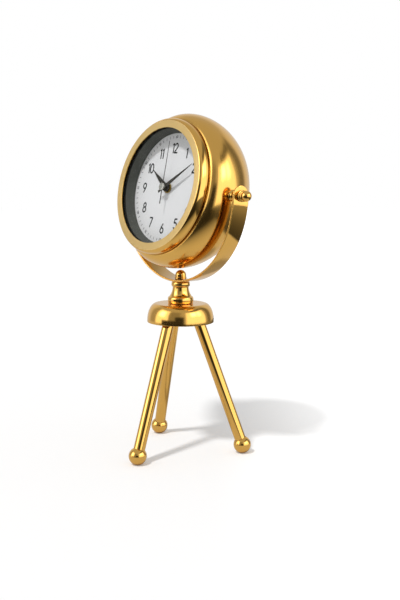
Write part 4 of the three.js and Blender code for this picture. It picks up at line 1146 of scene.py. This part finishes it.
DIGITS = {
    "0": (0.60, [bow(0, 0, 0.24, 0.45, 90, 450, 48)]),
    "1": (0.36, [line((-0.11, 0.31), (0.06, 0.45)), line((0.06, 0.495), (0.06, -0.495))]),
    "2": (0.56, [np.vstack([bow(0, 0.2, 0.22, 0.25, 170, -28),
                            line((0.19, 0.07), (-0.24, -0.45))[1:]]),
                 line((-0.27, -0.45), (0.26, -0.45))]),
    "3": (0.56, [bow(-0.01, 0.23, 0.20, 0.22, 150, -80), bow(-0.01, -0.21, 0.23, 0.24, 80, -150)]),
    "4": (0.60, [line((0.10, 0.45), (-0.27, -0.2)), line((-0.30, -0.22), (0.28, -0.22)),
                 line((0.11, 0.495), (0.11, -0.495))]),
    "5": (0.56, [line((0.22, 0.45), (-0.13, 0.45)), line((-0.12, 0.47), (-0.19, 0.03)),
                 bow(-0.03, -0.17, 0.25, 0.28, 125, -145)]),
    "6": (0.58, [bow(0, -0.2, 0.23, 0.25, 90, 450, 40),
                 smooth([[-0.21, -0.13], [-0.1, 0.14], [0.09, 0.47]], 10)]),
    "7": (0.54, [line((-0.25, 0.45), (0.24, 0.45)), line((0.22, 0.45), (-0.1, -0.495))]),
    "8": (0.58, [bow(0, 0.24, 0.19, 0.21, 90, 450, 36), bow(0, -0.21, 0.23, 0.24, 90, 450, 40)]),
    "9": (0.58, [bow(0, 0.2, 0.23, 0.25, 90, 450, 40),
                 smooth([[0.21, 0.13], [0.1, -0.14], [-0.09, -0.47]], 10)]),
}


def written(text, middle, up, height, stroke, low, high):
    """The ribbons of a number centred on a place, its top towards the direction up. Each stroke
    of a digit lies a little over the one before, so that no two faces fall together."""
    over = 0.004 * MM
    widths = [DIGITS[digit][0] for digit in text]
    pen = -sum(widths) / 2
    across = np.array([up[1], -up[0]])
    strokes = []
    for digit, width in zip(text, widths):
        for number, path in enumerate(DIGITS[digit][1]):
            local = (path + [pen + width / 2, 0]) * height
            spot = middle + local[:, :1] * across + local[:, 1:] * up
            strokes.append(ribbon(spot, stroke / 2, low, high + number * over))
        pen += width
    return strokes


class CLOCK_OT_numerals(ClockOperator, bpy.types.Operator):
    """Prints the numerals and the minute track on the dial"""

    bl_idname = "clock.numerals"
    bl_label = "Numerals and track"

    def execute(self, context):
        s = context.scene.clock_dial
        head = head_frame()
        above, track_stroke = 0.01 * MM, 0.36 * MM
        low = context.scene.clock_drum.dial_front + above
        high, upright = low + s.ink, np.array([0.0, 1.0])
        hours = []
        for hour in range(1, HOURS + 1):
            hours += written(str(hour), self.outward(hour / HOURS) * s.numeral_radius, upright,
                             s.numeral_height, s.numeral_stroke, low, high)
        piece("hour_numerals", together(*hours), head, "head", "dial_white",
              finish="numerals")
        marks = []
        for minute in range(MINUTES):
            out = self.outward(minute / MINUTES)
            if minute % (MINUTES // HOURS):
                ends = [out * (s.track_radius - s.tick_length / 2),
                        out * (s.track_radius + s.tick_length / 2)]
                marks.append(ribbon(ends, s.tick_width / 2, low, high))
            else:
                marks += written(f"{minute or MINUTES:02d}", out * s.track_radius, out,
                                 s.track_height, track_stroke, low, high)
        piece("minute_track", together(*marks), head, "head", "dial_white", finish="track")
        return {"FINISHED"}

    def outward(self, share):
        """The direction from the dial's middle at a share of a full turn after the 12."""
        t = share * FULL_TURN
        return np.array([math.sin(t), math.cos(t)])


class CLOCK_OT_hands(ClockOperator, bpy.types.Operator):
    """Cuts the hands and the second hand's cap"""

    bl_idname = "clock.hands"
    bl_label = "Hands"

    def execute(self, context):
        s = context.scene.clock_dial
        hour = self.leaf(s.hour_length, s.hour_width, hub=3.6 * MM)
        minute = self.leaf(s.minute_length, s.minute_width, hub=2.9 * MM, tail=8.4 * MM,
                           tail_width=2.2 * MM)
        second = self.leaf(s.second_length, width=0.7 * MM, hub=1.2 * MM, tail=15.2 * MM,
                           tail_width=0.9 * MM)
        self.hand("hour", hour, s.hour_front, s.hour_angle, s)
        self.hand("minute", minute, s.minute_front, s.minute_angle, s)
        self.hand("second", second, s.second_front, s.second_angle, s)
        self.cap(s)
        return {"FINISHED"}

    def cap(self, s):
        """The button over the second hand's hub: a disc with a rounded edge."""
        foot, foot_radius, flat_radius = 0.46, 3.2, 2.8
        middle, bulge, rise = 1.2, 0.5, 0.45
        rim = arc(flat_radius, middle, bulge, rise, start=-60, stop=90, count=10)
        outline = np.vstack([[[0, foot], [foot_radius, foot]], rim, [[0, middle + rise]]]) * MM
        piece("second_cap", turned(outline, SMALL_SIDES), shift(head_frame(), z=s.second_front),
              "second", "hand_charcoal", finish="cap")

    def hand(self, name, outline, front, clockwise, s):
        """Makes one hand's plate on the body of the same name."""
        place = turn(head_frame(), AXIS_Z, -clockwise)
        plate = sheet_plate(outline, front, front + s.hand_thickness, edge=0.12 * MM)
        piece(f"{name}_leaf", plate, place, name, "hand_charcoal", [f"{name}_hand"])

    def leaf(self, long, width, hub, tail=0, tail_width=0):
        """A hand's outline, pointing along Y: a blunt point, a round hub and, if asked, a tail."""
        tip, half_tail = 0.16 * MM, tail_width / 2
        start = math.degrees(math.acos(min(width / 2 / hub, 1)))
        if tail:
            stop = math.degrees(math.acos(min(half_tail / hub, 1)))
            round_hub = [arc(0, 0, hub, hub, start, -stop, count=12),
                         [[half_tail, -tail], [-half_tail, -tail]],
                         arc(0, 0, hub, hub, HALF_CIRCLE + stop, HALF_CIRCLE - start, count=12)]
        else:
            round_hub = [arc(0, 0, hub, hub, start, -HALF_CIRCLE - start, count=28)]
        return np.vstack([[[tip, long]], *round_hub, [[-tip, long]]])[::-1]


class CLOCK_OT_cover(ClockOperator, bpy.types.Operator):
    """Makes the rear cover ring"""

    bl_idname = "clock.cover"
    bl_label = "Rear cover"

    def execute(self, context):
        s = context.scene.clock_drum
        head = head_frame()
        clearance, sheet, flange = 0.3 * MM, 1.2 * MM, 3.4 * MM
        rear = self.rearmost(head)
        edge = s.rear_opening - s.wall / 2 - clearance
        ring = eased([[s.window, rear], [edge, rear], [edge, rear + sheet],
                      [s.window + sheet, rear + sheet], [s.window + sheet, rear + flange],
                      [s.window, rear + flange]], size=0.3 * MM, closed=True)
        piece("cover_ring", turned(ring, COVER_SIDES), head, "head", "satin_gold",
              ["rear_cover"])
        return {"FINISHED"}

    def rearmost(self, head):
        """How far the solid of the cover lies in front of the head's origin, at its rear."""
        mesh = frame["nodes"]["rear_cover"].data
        points = np.empty(3 * len(mesh.vertices))
        mesh.vertices.foreach_get("co", points)
        local = (points.reshape(-1, 3) - head[:3, 3]) @ head[:3, :3]
        return float(local[:, 2].min())


class CLOCK_OT_carried(ClockOperator, bpy.types.Operator):
    """Gives every solid its material, for those that stay visible"""

    bl_idname = "clock.carried"
    bl_label = "Other pieces"

    def execute(self, context):
        slots = {part["node"]: part["material_slot"] for part in frame["record"]["subparts"]}
        for name, node in frame["nodes"].items():
            material = finish_named(slots[name])
            if node.data.materials:
                for index in range(len(node.data.materials)):
                    node.data.materials[index] = material
            else:
                node.data.materials.append(material)
        return {"FINISHED"}


class CLOCK_OT_stage(ClockOperator, bpy.types.Operator):
    """Sets up the camera, the floor, the lamps and the room"""

    bl_idname = "clock.stage"
    bl_label = "Stage"

    def execute(self, context):
        s = context.scene.clock_stage
        self.camera(context, s)
        self.floor(context, s)
        self.lamps(context, s)
        self.room(context, s)
        context.scene.view_settings.view_transform = "Standard"
        return {"FINISHED"}

    def direction(self, s):
        """The stand's frame turned so that its -Y side faces the camera."""
        return turn(stand_frame(), AXIS_Z, s.bearing)

    def camera(self, context, s):
        """A camera on its bearing round the stand, swung, pitched and rolled."""
        data = bpy.data.cameras.new("camera")
        data.sensor_width, data.lens = SENSOR_WIDTH, s.lens
        data.clip_start, data.clip_end = 10 * MM, 50_000 * MM
        made = bpy.data.objects.new("camera", data)
        context.scene.collection.objects.link(made)
        place = shift(self.direction(s), y=-s.distance, z=s.height)
        place = turn(turn(place, AXIS_Z, s.swing), AXIS_X, QUARTER_TURN - s.pitch)
        place = turn(place, AXIS_Z, s.roll)
        made.matrix_world = Matrix(place.tolist())
        context.scene.camera = made

    def floor(self, context, s):
        """A square grid just under the feet."""
        under, rows = 0.1 * MM, 9
        t = np.linspace(-s.floor_size, s.floor_size, rows)
        x, y = np.meshgrid(t, t, indexing="ij")
        corners = np.column_stack([x.ravel(), y.ravel(), np.full(x.size, -under)])
        faces = grid_faces(rows, rows, wrap_columns=False)[:, ::-1]
        mesh = bpy.data.meshes.new("floor")
        mesh.from_pydata(corners.tolist(), [], faces.tolist())
        mesh.materials.append(self.floor_material(s))
        made = bpy.data.objects.new("floor", mesh)
        context.scene.collection.objects.link(made)

    def floor_material(self, s):
        """Pale paper, lifted to white where the camera sees it, shadows and all. In the metal it
        ends at its right edge, fades towards the camera, and gives way to the room far out."""
        uneven, beyond = 0.01, 1.1
        finish = Finish("floor paper", roughness=0.9, specular_ior_level=0.0)
        glossy = finish.node("ShaderNodeLightPath", output="Is Glossy Ray")
        x, y, _ = finish.about(self.direction(s))
        paper = ((1 - finish.step(x, s.sheet_reach, s.sheet_reach + s.sheet_fade))
                 * (1 - finish.step(-1 * y, s.sheet_near, s.sheet_front)))
        bare = s.bare + s.bare_rise * finish.step(x, s.bare_start, s.bare_stop)
        level = bare + (1 - bare) * paper
        tone = finish.noise(scale=3.0, detail=2.0)
        pale = finish.mottled(tone, [s.paper] * 3, uneven)
        finish.set(base_color=finish.blend(s.paper_in_metal * level * glossy + (1 - glossy),
                                           BLACK, pale))
        seen = finish.node("ShaderNodeLightPath", output="Is Camera Ray")
        lift = s.lift + s.lift_rise * finish.step(x, s.lift_start, s.lift_stop)
        glow = finish.node("ShaderNodeEmission", inputs={"Color": WHITE, "Strength": seen * lift})
        both = finish.node("ShaderNodeAddShader", inputs={
            0: Value(finish.tree, finish.surface.outputs[0]), 1: glow})
        clear = finish.node("ShaderNodeBsdfTransparent")
        far = finish.step(distance(x, y), s.floor_reach, beyond * s.floor_reach) * glossy
        shown = finish.node("ShaderNodeMixShader", inputs={0: far, 1: both, 2: clear})
        finish.tree.links.new(shown.socket, finish.output.inputs["Surface"])
        return finish.material

    def lamps(self, context, s):
        """A soft sun high at the camera's left. The metal doesn't mirror its disc: what it mirrors
        is in the room."""
        data = bpy.data.lights.new("sun", "SUN")
        data.energy, data.angle = s.sun_power, s.sun_size
        made = bpy.data.objects.new("sun", data)
        made.visible_glossy = False
        context.scene.collection.objects.link(made)
        place = turn(self.direction(s), AXIS_Z, s.sun_side)
        place = turn(place, AXIS_X, QUARTER_TURN - s.sun_height)
        made.matrix_world = Matrix(place.tolist())

    def room(self, context, s):
        """A room that the camera sees plain white. It lights everything evenly, and polished metal
        sees its screens, its pale wall and its dark gaps."""
        world = bpy.data.worlds.new("room")
        tree = Tree(world)
        path = {name: tree.node("ShaderNodeLightPath", output=f"Is {name} Ray")
                for name in ("Camera", "Glossy", "Transmission")}
        seen = self.surroundings(tree, s)
        strength = s.room_light + (1 - s.room_light) * (path["Camera"] + path["Transmission"])
        strength = strength + (seen - s.room_light) * path["Glossy"]
        background = tree.node("ShaderNodeBackground", inputs={
            "Color": WHITE, "Strength": strength})
        output = tree.tree.nodes.new("ShaderNodeOutputWorld")
        tree.tree.links.new(background.socket, output.inputs["Surface"])
        context.scene.world = world

    def surroundings(self, tree, s):
        """The brightness of the room in each direction: a level that each listed thing covers
        inside its own field of direction and height."""
        x, y, z = tree.about(self.direction(s), "Generated")
        side = x.math("ARCTAN2", -1 * y) * math.degrees(1)
        height = z.math("ARCSINE") * math.degrees(1)
        seen, round_trip = s.ceiling_light, 2 * HALF_CIRCLE
        for _, middle, level, half_width, half_height, edge, brightness in SURROUNDINGS:
            past = (side - middle + 3 * HALF_CIRCLE).math("FLOORED_MODULO", round_trip)
            off, up = abs(past - HALF_CIRCLE), abs(height - level)
            cover = ((1 - tree.step(off, half_width - edge / 2, half_width + edge / 2))
                     * (1 - tree.step(up, half_height - edge / 2, half_height + edge / 2)))
            seen = seen + (brightness - seen) * cover
        return seen


class CLOCK_PT_panel(bpy.types.Panel):
    """Lists the clock's sizes, colours and operators"""

    bl_label = "Tripod table clock"
    bl_idname = "CLOCK_PT_panel"
    bl_space_type = "VIEW_3D"
    bl_region_type = "UI"
    bl_category = "Clock"

    def draw(self, context):
        """A box for each group of sizes, then a button for each operator."""
        layout = self.layout
        for name in GROUPS:
            box = layout.box()
            box.label(text=name.replace("_", " ").capitalize())
            group = getattr(context.scene, name)
            for key in group.__annotations__:
                box.prop(group, key)
        for operator in OPERATORS:
            layout.operator(operator.bl_idname)


GROUPS = {
    "clock_tripod": TripodSizes,
    "clock_yoke": YokeSizes,
    "clock_drum": DrumSizes,
    "clock_dial": DialSizes,
    "clock_colours": FinishColours,
    "clock_stage": StageSettings,
}
OPERATORS = (
    CLOCK_OT_stage, CLOCK_OT_legs, CLOCK_OT_dome, CLOCK_OT_pedestal, CLOCK_OT_acorn,
    CLOCK_OT_yoke, CLOCK_OT_pivots, CLOCK_OT_drum, CLOCK_OT_bezel, CLOCK_OT_dial,
    CLOCK_OT_numerals, CLOCK_OT_hands, CLOCK_OT_cover, CLOCK_OT_carried,
)


def register():
    """Registers the classes and gives every scene the groups of sizes."""
    for kind in (*GROUPS.values(), *OPERATORS, CLOCK_PT_panel):
        bpy.utils.register_class(kind)
    for name, kind in GROUPS.items():
        setattr(bpy.types.Scene, name, PointerProperty(type=kind))


def unregister():
    """Takes back what register did."""
    for name in GROUPS:
        delattr(bpy.types.Scene, name)
    for kind in reversed((*GROUPS.values(), *OPERATORS, CLOCK_PT_panel)):
        bpy.utils.unregister_class(kind)


def main():
    """Builds the clock."""
    register()
    for operator in OPERATORS:
        group, name = operator.bl_idname.split(".")
        getattr(getattr(bpy.ops, group), name)()


if __name__ == "__main__":
    main()
